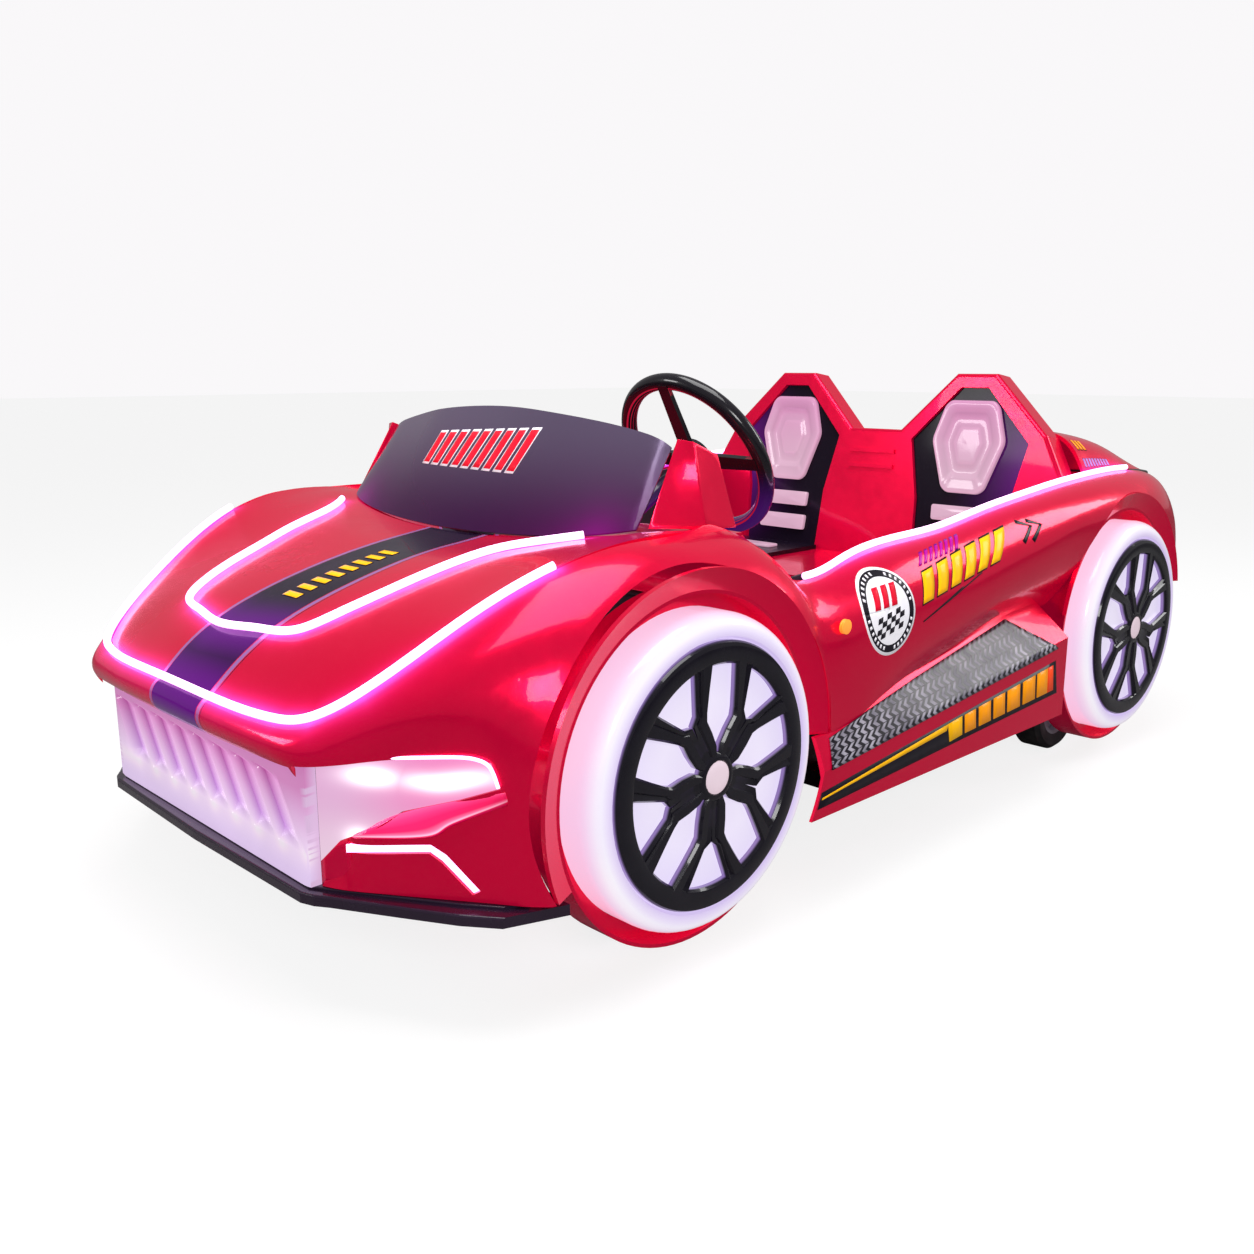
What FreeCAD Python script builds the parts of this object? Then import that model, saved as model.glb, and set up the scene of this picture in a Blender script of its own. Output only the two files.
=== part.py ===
"""Two-seat electric ride-on car for a fairground, as a parametric FreeCAD document.

Millimetres. The nose points to -Y, +X is the car's left side, +Z is up. The origin is at the bottom
centre of the overall box, on the floor that the four small running wheels stand on.
"""
import FreeCAD, Part
import math
import os
import Sketcher
from FreeCAD import Placement, Rotation, Vector

doc = FreeCAD.newDocument("RideOnCar")

# ---------------------------------------------------------------- driving sizes
SIZES = [
    ("wheelbase", 1278, "between the hubs of the big dummy wheels"),
    ("front_overhang", 480, "front hub to nose tip"),
    ("rear_overhang", 402, "rear hub to tail"),
    ("hub_height", 270, "dummy wheel hub above the floor"),
    ("spoke_plane", 570, "outer face of the spoke covers from the centre plane"),
    ("disc_radius", 214.5, "lit dummy wheel disc"),
    ("disc_back", 500, "rear face of a lit disc from the centre plane"),
    ("spoke_radius", 180, "black spoke cover"),
    ("spoke_depth", 12, "spoke cover thickness"),
    ("spoke_rim_width", 28, "rim of the spoke cover"),
    ("arch_radius", 272, "wheel arch edge"),
    ("pod_radius", 240, "wheel pod behind the disc"),
    ("pod_inner", 474, "inner face of a wheel pod"),
    ("pod_outer", 529, "outer rim of a wheel pod"),
    ("shell_wall", 5, "moulded glass-fibre wall"),
    ("running_radius", 90, "small running wheel"),
    ("tread_width", 65, "running wheel width"),
    ("rim_radius", 58, "running wheel rim"),
    ("front_track_half", 395, "front running wheel centre from the centre plane"),
    ("rear_track_half", 420, "rear running wheel centre from the centre plane"),
    ("rear_wheel_lead", 63, "rear running axle ahead of the dummy hub"),
    ("stub_radius", 10, "stub axle"),
    ("running_clearance", 0.05, "radial clearance of a wheel or pivot on its pin"),
    ("kingpin_half", 320, "kingpin from the centre plane"),
    ("kingpin_radius", 8, "kingpin"),
    ("barrel_radius", 16, "knuckle barrel"),
    ("arm_length", 80, "steering arms, pivot to pivot"),
    ("beam_size", 40, "axle beam, square"),
    ("rail_half", 180, "chassis rail centre line"),
    ("rail_width", 40, "chassis rail width"),
    ("rail_height", 40, "chassis rail height"),
    ("rail_floor", 135, "underside of the chassis rails"),
    ("steering_offset", 230, "steering column from the centre plane"),
    ("steering_wheel_y", 321, "steering wheel centre behind the front hub"),
    ("steering_wheel_z", 648, "steering wheel centre height"),
    ("steering_wheel_radius", 136, "steering wheel rim, centre line"),
    ("steering_rim_radius", 13, "steering wheel rim, half thickness"),
    ("column_slope", 30, "column above the horizontal, degrees"),
    ("column_radius", 12, "steering shaft"),
    ("sill_floor", 149, "underside of the sills"),
    ("seat_offset", 232, "seat centre from the centre plane"),
    ("seat_top", 774, "top of the seat backs"),
    ("seat_back_y", 152, "seat back, at the cushion, ahead of the rear hub"),
    ("seat_tilt", 8, "seat back from the vertical, degrees"),
    ("seat_base", 372, "bench height"),
    ("light_radius", 5.5, "light tubes"),
]
sheet = doc.addObject("Spreadsheet::Sheet", "Sizes")
for row, (alias, value, meaning) in enumerate(SIZES, start=1):
    sheet.set(f"A{row}", meaning)
    sheet.set(f"B{row}", str(value))
    sheet.setAlias(f"B{row}", alias)
doc.recompute()


class Dim:
    """A size together with the sheet formula that drives it."""

    def __init__(self, value, text=None):
        self.value = float(value)
        self.text = text or f"{float(value):.6g}"

    def _with(self, other, sign, result):
        return Dim(result, f"({self.text} {sign} {other.text})")

    def __add__(self, other):
        other = dim(other)
        return self._with(other, "+", self.value + other.value)

    def __sub__(self, other):
        other = dim(other)
        return self._with(other, "-", self.value - other.value)

    def __mul__(self, other):
        other = dim(other)
        return self._with(other, "*", self.value * other.value)

    def __truediv__(self, other):
        other = dim(other)
        return self._with(other, "/", self.value / other.value)

    def __radd__(self, other):
        return dim(other) + self

    def __rsub__(self, other):
        return dim(other) - self

    def __rmul__(self, other):
        return dim(other) * self

    def __neg__(self):
        return dim(0) - self

    def __float__(self):
        return self.value


def dim(value):
    return value if isinstance(value, Dim) else Dim(value)


size = {alias: Dim(sheet.get(alias), f"Sizes.{alias}") for alias, value, meaning in SIZES}

overall_length = size["wheelbase"] + size["front_overhang"] + size["rear_overhang"]
front_hub = size["front_overhang"] - overall_length / 2
rear_hub = front_hub + size["wheelbase"]
nose = front_hub - size["front_overhang"]
tail = rear_hub + size["rear_overhang"]
rear_axle_y = rear_hub - size["rear_wheel_lead"]
axle_height = size["running_radius"]
wall = size["shell_wall"].value

# ---------------------------------------------------------------- building blocks
NODES = {}


def node(label, obj):
    """Names a finished sub-part."""
    obj.Label = label
    NODES[label] = obj
    return obj


def bind(obj, **sizes):
    """Ties properties of an object to the sheet. Double underscores stand for dots."""
    for prop, value in sizes.items():
        obj.setExpression(prop.replace("__", "."), dim(value).text)


def place(obj, x=0, y=0, z=0):
    bind(obj, Placement__Base__x=x, Placement__Base__y=y, Placement__Base__z=z)
    return obj


def block(name, x, y, z):
    """A box between two limits on each axis, each given as a pair of sizes."""
    obj = doc.addObject("Part::Box", name)
    bind(obj, Length=dim(x[1]) - x[0], Width=dim(y[1]) - y[0], Height=dim(z[1]) - z[0])
    return place(obj, x[0], y[0], z[0])


TURN = {"x": Rotation(Vector(0, 1, 0), 90), "y": Rotation(Vector(1, 0, 0), -90), "z": Rotation()}


def rod(name, axis, radius, length, x=0, y=0, z=0):
    """A cylinder that starts at a point and runs along +axis."""
    obj = doc.addObject("Part::Cylinder", name)
    obj.Placement = Placement(Vector(), TURN[axis])
    bind(obj, Radius=radius, Height=length)
    return place(obj, x, y, z)


def fuse(name, *parts):
    obj = doc.addObject("Part::MultiFuse", name)
    obj.Shapes = list(parts)
    obj.Refine = True
    return obj


def cut(name, base, *tools):
    obj = doc.addObject("Part::Cut", name)
    obj.Base = base
    obj.Tool = tools[0] if len(tools) == 1 else fuse(name + "_tools", *tools)
    return obj


def common(name, base, tool):
    obj = doc.addObject("Part::Common", name)
    obj.Base = base
    obj.Tool = tool
    return obj


def mirrored(name, source):
    """The same piece on the car's other side."""
    obj = doc.addObject("Part::Mirroring", name)
    obj.Source = source
    obj.Base = Vector(0, 0, 0)
    obj.Normal = Vector(1, 0, 0)
    return obj


def rounded(name, source, radius, pick):
    """A solid with some of its edges rounded: those for which pick(edge) is true."""
    doc.recompute()
    edge_list = [(index, radius, radius) for index, edge in enumerate(source.Shape.Edges, 1) if pick(edge)]
    obj = doc.addObject("Part::Fillet", name)
    obj.Base = source
    obj.Edges = edge_list
    doc.recompute()
    return obj


def compound(name, *sources):
    """Like pieces as one object of several solids."""
    obj = doc.addObject("Part::Compound", name)
    obj.Links = list(sources)
    return obj


def both_sides(name, source):
    """A piece and its mirror image as one object of two solids."""
    return compound(name, source, mirrored(name + "_mirrored", source))


def sketch(body, name, role, loops, offset=0):
    """A sketch of closed outlines. A loop is a list of corners, or (centre, radius) for a circle."""
    flat = body.newObject("Sketcher::SketchObject", name)
    plane = next(item for item in body.Origin.OriginFeatures if item.Role == role)
    flat.AttachmentSupport = [(plane, "")]
    flat.MapMode = "FlatFace"
    bind(flat, AttachmentOffset__Base__z=offset)
    for loop in loops:
        if isinstance(loop, tuple):
            (x, y), radius = loop
            centre = Vector(float(dim(x)), float(dim(y)), 0)
            index = flat.addGeometry(Part.Circle(centre, Vector(0, 0, 1), float(dim(radius))), False)
            fix_point(flat, index, 3, x, y)
            fix(flat, Sketcher.Constraint("Radius", index, float(dim(radius))), radius)
            continue
        corners = [Vector(float(dim(x)), float(dim(y)), 0) for x, y in loop]
        first = flat.GeometryCount
        for here, there in zip(corners, corners[1:] + corners[:1]):
            flat.addGeometry(Part.LineSegment(here, there), False)
        for index, (x, y) in enumerate(loop):
            before = first + (index - 1) % len(loop)
            flat.addConstraint(Sketcher.Constraint("Coincident", before, 2, first + index, 1))
            fix_point(flat, first + index, 1, x, y)
    return flat


def fix(flat, constraint, value):
    index = flat.addConstraint(constraint)
    flat.setExpression(f"Constraints[{index}]", dim(value).text)


def fix_point(flat, index, end, x, y):
    """Sets a point's distances from the sketch's origin."""
    for kind, value in (("DistanceX", dim(x)), ("DistanceY", dim(y))):
        if abs(value.value) < 1e-9:
            other = "PointOnObject"
            flat.addConstraint(Sketcher.Constraint(other, index, end, -2 if kind == "DistanceX" else -1))
        else:
            fix(flat, Sketcher.Constraint(kind, -1, 1, index, end, value.value), value)


def revolved(name, loops, axis="V_Axis", role="XZ_Plane"):
    """A body turned about the sketch's vertical or horizontal axis."""
    body = doc.addObject("PartDesign::Body", name)
    flat = sketch(body, name + "_profile", role, loops)
    turn = body.newObject("PartDesign::Revolution", name + "_turn")
    turn.Profile = flat
    turn.ReferenceAxis = (flat, [axis])
    turn.Angle = 360
    return body


def padded(name, loops, length, role="XY_Plane", offset=0):
    """A body raised from closed outlines."""
    body = doc.addObject("PartDesign::Body", name)
    flat = sketch(body, name + "_outline", role, loops, offset)
    pad = body.newObject("PartDesign::Pad", name + "_pad")
    pad.Profile = flat
    bind(pad, Length=length)
    return body


def solid(name, shape):
    """A sub-part whose shape comes from Part's own surface functions."""
    obj = doc.addObject("Part::Feature", name)
    obj.Shape = shape
    return obj


# ---------------------------------------------------------------- curved panels
def smooth(points):
    """A smooth curve through points."""
    curve = Part.BSplineCurve()
    curve.interpolate([Vector(*point) for point in points])
    return curve


def spline(points):
    return smooth(points).toShape()


def finer(points, steps):
    """Points on the smooth curve through some points, with so many steps from each to the next."""
    curve = smooth(points)
    knots = curve.getKnots()
    found = [curve.value(here + (there - here) * step / steps)
             for here, there in zip(knots, knots[1:]) for step in range(steps)]
    return found + [curve.value(knots[-1])]


STEPS = 3


def skin(net):
    """The smooth surface of a net of points, given as rows of equal length.

    The net is filled in along its own curves first, so the surface can take the points as its poles.
    """
    along = [finer(line, STEPS) for line in zip(*net)]
    return surface_of([finer(row, STEPS) for row in zip(*along)])


def surface_of(poles):
    counts = (len(poles), len(poles[0]))
    surface = Part.BSplineSurface()
    mults = [[4] + [1] * (count - 4) + [4] for count in counts]
    knots = [[float(knot) for knot in range(count - 2)] for count in counts]
    surface.buildFromPolesMultsKnots(poles, *mults, *knots, False, False, 3, 3)
    return surface


def pole_places(count):
    """Where along a surface of so many rows each row of poles pulls most."""
    ends = [0, 1 / 3]
    return ends + [float(row - 1) for row in range(2, count - 2)] + [count - 3 - end for end in reversed(ends)]


def rim(faces, kind, end):
    """The narrow surface that joins two like surfaces along one of their four edges."""
    curves = []
    for surface in faces:
        u_ends, v_ends = surface.bounds()[:2], surface.bounds()[2:]
        curves.append(surface.uIso(u_ends[end]) if kind == "u" else surface.vIso(v_ends[end]))
    strip = Part.BSplineSurface()
    strip.buildFromPolesMultsKnots([curve.getPoles() for curve in curves], [2, 2], curves[0].getMultiplicities(),
                                   [0, 1], curves[0].getKnots(), False, False, 1, 3)
    return strip.toShape()


def outward(surface, u, v):
    """The direction square to a surface at a place, on the side away from the middle of the car."""
    u_first, u_last, v_first, v_last = surface.bounds()
    middle = ((u_first + u_last) / 2, (v_first + v_last) / 2)
    away = surface.value(*middle) - Vector(0, 0, 300)
    side = 1 if surface.normal(*middle).dot(away) > 0 else -1
    return surface.normal(u, v) * side


def sunk(surface, depth):
    """A copy of a surface that lies a depth inside it."""
    return surface_of([[surface.value(u, v) - outward(surface, u, v) * depth
                        for v in pole_places(surface.NbVPoles)] for u in pole_places(surface.NbUPoles)])


def panel_solid(surface, thickness, stations=None, start=0):
    """A moulded panel: a smooth surface with a wall behind it, whole or between two of its stations.
    The wall may start a little under the surface."""
    faces = [sunk(surface, start) if start else surface.copy(), sunk(surface, thickness)]
    if stations:
        for sheet_face in faces:
            v_first, v_last = sheet_face.bounds()[2:]
            sheet_face.segment(stations[0] * STEPS - 1, stations[1] * STEPS - 1, v_first, v_last)
    rims = [rim(faces, kind, end) for kind in ("u", "v") for end in (0, 1)]
    shell = Part.makeShell([made.toShape() for made in faces] + rims)
    shell.sewShape()
    made = Part.makeSolid(shell)
    if made.Volume < 0:
        made.reverse()
    return made


def lathe(runs):
    """A solid of revolution about X. Each run is a list of (radius, x), smooth if it has over two points."""
    edges = []
    for run in runs:
        points = [(x, 0, radius) for radius, x in run]
        edges.append(spline(points) if len(points) > 2 else Part.makeLine(Vector(*points[0]), Vector(*points[1])))
    return Part.Face(Part.Wire(Part.__sortEdges__(edges))).revolve(Vector(), Vector(1, 0, 0), 360)


def behind(hub, points):
    """Points given as (x, distance behind a hub, z), in the car's frame."""
    return [(x, hub.value + along, z) for x, along, z in points]


def whole_width(rows):
    """A net that spans the car, from its left half listed from the centre out."""
    other = [[(-x, y, z) for x, y, z in row] for row in rows[1:]]
    return list(reversed(other)) + rows


# stations round the left side, from the middle of the nose to the middle of the tail. Each goes down from
# the edge of the top surface: edge, shoulder, brow, waist, skirt, foot
front_stations = [
    [(0, -465, 375), (0, -477, 364), (0, -480, 350), (0, -474, 334), (0, -436, 310), (0, -428, 165)],
    [(150, -461, 372), (152, -473, 362), (153, -477, 348), (153, -470, 332), (152, -434, 306), (150, -427, 165)],
    [(252, -447, 370), (257, -461, 361), (260, -467, 347), (260, -463, 331), (258, -432, 300), (255, -426, 165)],
    [(299, -432, 376), (309, -444, 367), (317, -452, 352), (319, -452, 333), (306, -425, 290), (298, -421, 165)],
    [(346, -384, 408), (359, -393, 396), (371, -394, 372), (375, -384, 341), (368, -381, 260), (362, -385, 165)],
    [(385, -296, 468), (410, -312, 452), (438, -327, 418), (450, -324, 352), (443, -329, 260), (434, -335, 165)],
    [(410, -223, 512), (443, -235, 498), (478, -254, 464), (503, -272, 385), (507, -282, 280), (499, -290, 165)],
    [(431, -155, 543), (465, -162, 530), (504, -178, 498), (535, -205, 420), (548, -232, 300), (547, -245, 165)],
    [(452, -60, 567), (482, -58, 556), (514, -52, 532), (543, -42, 485), (557, -36, 410), (560, -32, 330)],
    [(447, 60, 569), (477, 64, 557), (510, 70, 533), (540, 78, 488), (556, 84, 415), (559, 88, 335)],
    [(412, 195, 557), (440, 206, 546), (478, 218, 522), (515, 226, 485), (544, 232, 420), (552, 238, 330)],
    [(468, 248, 488), (484, 250, 484), (504, 253, 470), (532, 257, 438), (547, 262, 375), (547, 268, 269)],
    [(468, 400, 497), (485, 400, 495), (506, 400, 484), (537, 400, 448), (550, 400, 390), (541, 400, 288)],
    [(468, 640, 516), (485, 640, 514), (505, 640, 504), (534, 640, 470), (548, 640, 420), (518, 640, 318)],
]
rear_stations = [
    [(468, -478, 536), (485, -478, 534), (505, -478, 524), (535, -478, 492), (548, -478, 444), (503, -478, 340)],
    [(468, -328, 552), (486, -328, 550), (508, -328, 541), (538, -328, 512), (550, -328, 472), (490, -328, 340)],
    [(468, -265, 558), (487, -265, 556), (510, -265, 547), (539, -265, 522), (551, -265, 484), (500, -265, 345)],
    [(468, -198, 564), (487, -198, 562), (511, -198, 553), (540, -198, 530), (553, -198, 492), (515, -198, 360)],
    [(468, -108, 570), (488, -108, 568), (513, -108, 559), (541, -108, 538), (555, -108, 500), (550, -108, 360)],
    [(468, 0, 575), (488, 0, 573), (513, 0, 563), (540, 0, 541), (554, 0, 500), (556, 0, 360)],
    [(468, 122, 575), (486, 122, 572), (508, 123, 561), (533, 124, 535), (547, 126, 492), (551, 130, 360)],
    [(464, 222, 566), (480, 225, 560), (499, 229, 545), (518, 234, 514), (531, 242, 468), (537, 250, 340)],
    [(443, 292, 553), (455, 306, 540), (467, 322, 514), (479, 340, 470), (485, 352, 410), (484, 356, 290)],
    [(300, 344, 546), (305, 362, 531), (308, 378, 504), (310, 390, 462), (309, 394, 400), (304, 385, 285)],
    [(0, 354, 546), (0, 374, 531), (0, 390, 504), (0, 399, 462), (0, 402, 400), (0, 392, 285)],
]
left_side = ([behind(front_hub, station) for station in front_stations] +
             [behind(rear_hub, station) for station in rear_stations])
right_side = [[(-x, y, z) for x, y, z in station] for station in left_side]
front_joint = 11
rear_joint = len(front_stations) + 2
ring = right_side[front_joint + 2:0:-1] + left_side + right_side[-2:rear_joint - 3:-1]
ring_skin = skin(ring)


def body_panel(first, last):
    """The part of the body's skin between two stations, with its wall."""
    return panel_solid(ring_skin, wall, (ring.index(first), ring.index(last)))


every_x = (-700, 700)


def arch_hole(name, hub, side):
    x = size["spoke_plane"] - 130 if side > 0 else -size["spoke_plane"] - 70
    return rod(name, "x", size["arch_radius"], 200, x, hub, size["hub_height"])


def arch_flange(name, hub, first, last):
    """The return lip round a wheel arch on the left: a tube that ends at the skin."""
    deep = solid(f"{name}_deep", panel_solid(ring_skin, 26, (ring.index(first), ring.index(last)), 1.5))
    tube_out = rod(f"{name}_out", "x", size["arch_radius"] + 3.5, 150, 460, hub, size["hub_height"])
    tube_in = rod(f"{name}_in", "x", size["arch_radius"] - 0.6, 170, 450, hub, size["hub_height"])
    return common(name, deep, cut(f"{name}_tube", tube_out, tube_in))


grille_half = 297
lip_underside = 327
front_part = solid("front_part", body_panel(right_side[front_joint], left_side[front_joint]))
mouth = block("mouth", (-grille_half, grille_half), (nose - 20, nose + 120), (100, lip_underside))
splitter_top = 163.6
foot_trim = block("foot_trim", every_x, (nose - 20, front_hub), (100, splitter_top + 0.4))
front_flange = arch_flange("front_flange", front_hub, left_side[5], left_side[front_joint])
front_skin = cut("front_skin", front_part, mouth, arch_hole("front_arch_left", front_hub, 1),
                 arch_hole("front_arch_right", front_hub, -1))
front_shell = cut("front_shell", fuse("front_flanged", front_skin, front_flange,
                                      mirrored("front_flange_right", front_flange)), foot_trim)

# bonnet: from the middle out, each line from the nose back to the screen. Its edge stops short of the side skin
edge_gap = wall + 0.4
bonnet_lines = [
    [(0, -461, 379), (0, -394, 437), (0, -300, 478), (0, -205, 505), (0, -110, 524), (0, -60, 532), (0, -15, 538)],
    [(142, -457, 376), (160, -368, 445), (190, -300, 476), (216, -205, 509), (237, -110, 536), (262, -40, 545),
     (285, 22, 552)],
    [(228, -447, 373), (265, -368, 434), (290, -296, 472), (320, -205, 511), (345, -110, 546), (362, -20, 560),
     (372, 68, 563)],
    [(295, -428, 378), (354, -365, 421), (380, -294, 470), (404, -222, 513), (444, -66, 567), (438, 62, 569.5),
     (403, 195, 557.5)],
]
bonnet_skin = skin(whole_width([behind(front_hub, line) for line in bonnet_lines]))
bonnet = solid("bonnet", panel_solid(bonnet_skin, wall))

rear_part = solid("rear_part", body_panel(left_side[rear_joint], right_side[rear_joint]))
tail_light_x = 230
tail_light_z = 455
lamp_holes = [rod(f"lamp_hole_{i}", "y", 26.4, 60, x, tail - 50, tail_light_z)
              for i, x in enumerate((tail_light_x, -tail_light_x))]
rear_flange = arch_flange("rear_flange", rear_hub, left_side[rear_joint], left_side[rear_joint + 6])
rear_skin = cut("rear_skin", rear_part, arch_hole("rear_arch_left", rear_hub, 1),
                arch_hole("rear_arch_right", rear_hub, -1), *lamp_holes)
rear_shell = fuse("rear_shell", rear_skin, rear_flange, mirrored("rear_flange_right", rear_flange))
deck_lines = [
    [(0, -54, 648), (0, 60, 640), (0, 180, 618), (0, 290, 584), (0, 352, 552.2)],
    [(250, -54, 652), (250, 60, 643), (250, 180, 620), (250, 284, 586), (250, 348, 552.2)],
    [(403, -54, 654), (402, 60, 640), (400, 142, 624), (396, 232, 594), (388, 324, 557.7)],
    [(462, -54, 573), (462, 60, 577), (462, 122, 575), (458, 221, 568), (444, 291, 560)],
]
deck = solid("deck", panel_solid(skin(whole_width([behind(rear_hub, line) for line in deck_lines])), wall))
node("rear_body", compound("rear_body", rear_shell, deck))

# sides: the skin between the joints and the sill with its sloping step
door_skin = solid("door_skin", body_panel(left_side[front_joint], left_side[rear_joint]))
step_front = (front_hub.value + 200, 568, 215, 548, 258)
step_rear = (rear_hub.value - 298, 568, 298, 498, 356)


def sill_section(station):
    """The bent sheet of the sill and step at one station: (y, edge x, edge z, inner x, inner z)."""
    y, edge_x, edge_z, inner_x, inner_z = station
    low = size["sill_floor"].value
    far_x, far_z = edge_x + (inner_x - edge_x) * 1.2, edge_z + (inner_z - edge_z) * 1.2
    corners = [(edge_x - wall, low), (edge_x, low), (edge_x, edge_z), (far_x, far_z), (far_x - 4, far_z - 6),
               (edge_x - wall, edge_z - 9)]
    points = [Vector(x, y, z) for x, z in corners]
    return Part.makePolygon(points + points[:1])


sill = solid("sill", Part.makeLoft([sill_section(step_front), sill_section(step_rear)], True, True))
flare_low = 264.5
door_arch = common("door_arch", rod("door_arch_round", "x", size["arch_radius"] + 3.9, 300, 400, front_hub,
                                    size["hub_height"]),
                   block("door_arch_high", (300, 700), (front_hub, front_hub + 300), (flare_low - 1, 700)))
left_body = node("left_side_body", cut("left_side_body", fuse("left_side_blank", door_skin, sill), door_arch,
                 rod("pod_clearance", "x", size["pod_radius"] + 0.6, 300, 400, front_hub, size["hub_height"]),
                 rod("rear_arch_clearance", "x", size["arch_radius"] + 0.4, 300, 400, rear_hub, size["hub_height"])))
node("right_side_body", mirrored("right_side_body", left_body))

# ---------------------------------------------------------------- dummy wheels
face = size["spoke_plane"].value
disc_radius = size["disc_radius"].value
disc_back = size["disc_back"].value
spoke_radius = size["spoke_radius"].value
seat_face = face - size["spoke_depth"].value


def polar(radius, across, angle):
    """A point of a wheel's outline: out along an angle (0 rear, 90 up) and then across it."""
    turn = math.radians(angle)
    rear = radius * math.cos(turn) - across * math.sin(turn)
    up = radius * math.sin(turn) + across * math.cos(turn)
    return (-up, rear)


def dummy_wheel(end, hub):
    """The lit disc and its black spoke cover on the car's left, and both again on its right."""
    disc = solid(f"disc_{end}", lathe([
        [(0, disc_back), (disc_radius, disc_back)], [(disc_radius, disc_back), (disc_radius, face - 36)],
        [(disc_radius, face - 36), (disc_radius - 2, face - 21), (disc_radius - 9, face - 10),
         (disc_radius - 20, face - 4.5), (disc_radius - 30, face - 4)],
        [(disc_radius - 30, face - 4), (spoke_radius + 1, seat_face)],
        [(spoke_radius + 1, seat_face), (0, seat_face)], [(0, seat_face), (0, disc_back)]]))
    place(disc, 0, hub, size["hub_height"])
    cover = doc.addObject("PartDesign::Body", f"spokes_{end}")
    plate = sketch(cover, f"plate_{end}", "XY_Plane", [((0, 0), size["spoke_radius"])], seat_face)
    pad = cover.newObject("PartDesign::Pad", f"plate_pad_{end}")
    pad.Profile = plate
    bind(pad, Length=size["spoke_depth"])
    windows = []
    slot = [(spoke_radius - 30, -24), (spoke_radius - 30, 24), (82, 27), (38, 0), (82, -27)]
    small = [(spoke_radius - 34, -38), (spoke_radius - 34, 38), (92, 13), (92, -13)]
    for word, outline, angle in (("slot", slot, 85), ("small", small, 49)):
        window = sketch(cover, f"{word}_{end}", "XY_Plane", [[polar(r, t, angle) for r, t in outline]], face)
        pocket = cover.newObject("PartDesign::Pocket", f"{word}_pocket_{end}")
        pocket.Profile = window
        bind(pocket, Length=size["spoke_depth"] + 2)
        windows.append(pocket)
    pattern = cover.newObject("PartDesign::PolarPattern", f"windows_{end}")
    pattern.Originals = windows
    pattern.Axis = (plate, ["N_Axis"])
    pattern.Angle = 360
    pattern.Occurrences = 5
    cover.Tip = pattern
    cover.Placement = Placement(Vector(), Rotation(Vector(0, 0, 1), Vector(1, 0, 0)))
    place(cover, 0, hub, size["hub_height"])
    return [disc, mirrored(f"disc_{end}_right", disc)], [cover, mirrored(f"spokes_{end}_right", cover)]


front_discs, front_covers = dummy_wheel("front", front_hub)
rear_discs, rear_covers = dummy_wheel("rear", rear_hub)
node("wheel_discs", compound("wheel_discs", *front_discs, *rear_discs))
node("spoke_covers", compound("spoke_covers", *front_covers, *rear_covers))


def wheel_pod(end, hub, flare_cuts):
    """A moulded drum round a lit disc, with a flare out to the edge of the arch."""
    r, x = size["pod_radius"].value, size["pod_outer"].value
    r_disc = disc_radius + 0.3
    back = disc_back - 3
    drum = solid(f"drum_{end}", lathe([
        [(r - wall, size["pod_inner"].value), (r, size["pod_inner"].value)],
        [(r, size["pod_inner"].value), (r, x)], [(r, x), (r - wall, x)], [(r - wall, x), (r - wall, back + wall)],
        [(r - wall, back + wall), (r_disc, back + wall)], [(r_disc, back + wall), (r_disc, back)],
        [(r_disc, back), (r - wall, back)], [(r - wall, back), (r - wall, size["pod_inner"].value)]]))
    place(drum, 0, hub, size["hub_height"])
    edge = size["arch_radius"].value - 1.1
    ring = solid(f"flare_ring_{end}", lathe([
        [(r - 4, x - 2), (edge, x + 16)], [(edge, x + 16), (edge, x + 8)], [(edge, x + 8), (r - 4, x - 10)],
        [(r - 4, x - 10), (r - 4, x - 2)]]))
    place(ring, 0, hub, size["hub_height"])
    flare = cut(f"flare_{end}", ring, *flare_cuts)
    pod = fuse(f"pod_{end}", drum, flare)
    return node(f"{end}_wheel_pods", both_sides(f"pods_{end}", pod))


wheel_pod("front", front_hub, [
    block("flare_front_low", every_x, (front_hub - 300, front_hub), (-50, 168)),
    block("flare_front_sill", every_x, (front_hub, front_hub + 300), (-50, flare_low))])
wheel_pod("rear", rear_hub, [
    block("flare_rear_low", every_x, (rear_hub - 300, rear_hub + 300), (-50, 330))])

# ---------------------------------------------------------------- chassis
rail_top = size["rail_floor"] + size["rail_height"]
rail_from = nose + 255.3
rail_to = tail - 120
rails = []
for word, side in (("left", 1), ("right", -1)):
    middle = size["rail_half"] * side
    rails.append(block(f"rail_{word}", (middle - size["rail_width"] / 2, middle + size["rail_width"] / 2),
                       (rail_from, rail_to), (size["rail_floor"], rail_top)))
cross = []
for index, y in enumerate((rail_from, front_hub - 20, front_hub + 330, rear_axle_y - 330, rear_axle_y - 20, rail_to - 40)):
    cross.append(block(f"cross_{index}", (-size["rail_half"], size["rail_half"]), (y, y + 40),
                       (size["rail_floor"], rail_top)))
outriggers = []
for index, y in enumerate((front_hub + 330, rear_axle_y - 330)):
    outriggers.append(block(f"outrigger_{index}", (-547.7, 547.7), (y, y + 40), (size["rail_floor"] + 14, rail_top)))
tow_tab = block("tow_tab", (-30, 30), (rail_to - 1, rail_to + 50), (size["rail_floor"] + 6, size["rail_floor"] + 16))
tow_hole = rod("tow_hole", "z", 11, 60, 0, rail_to + 25, size["rail_floor"] - 20)
node("chassis_frame", cut("chassis_frame", fuse("frame_tubes", *rails, *cross, *outriggers, tow_tab), tow_hole))

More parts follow.
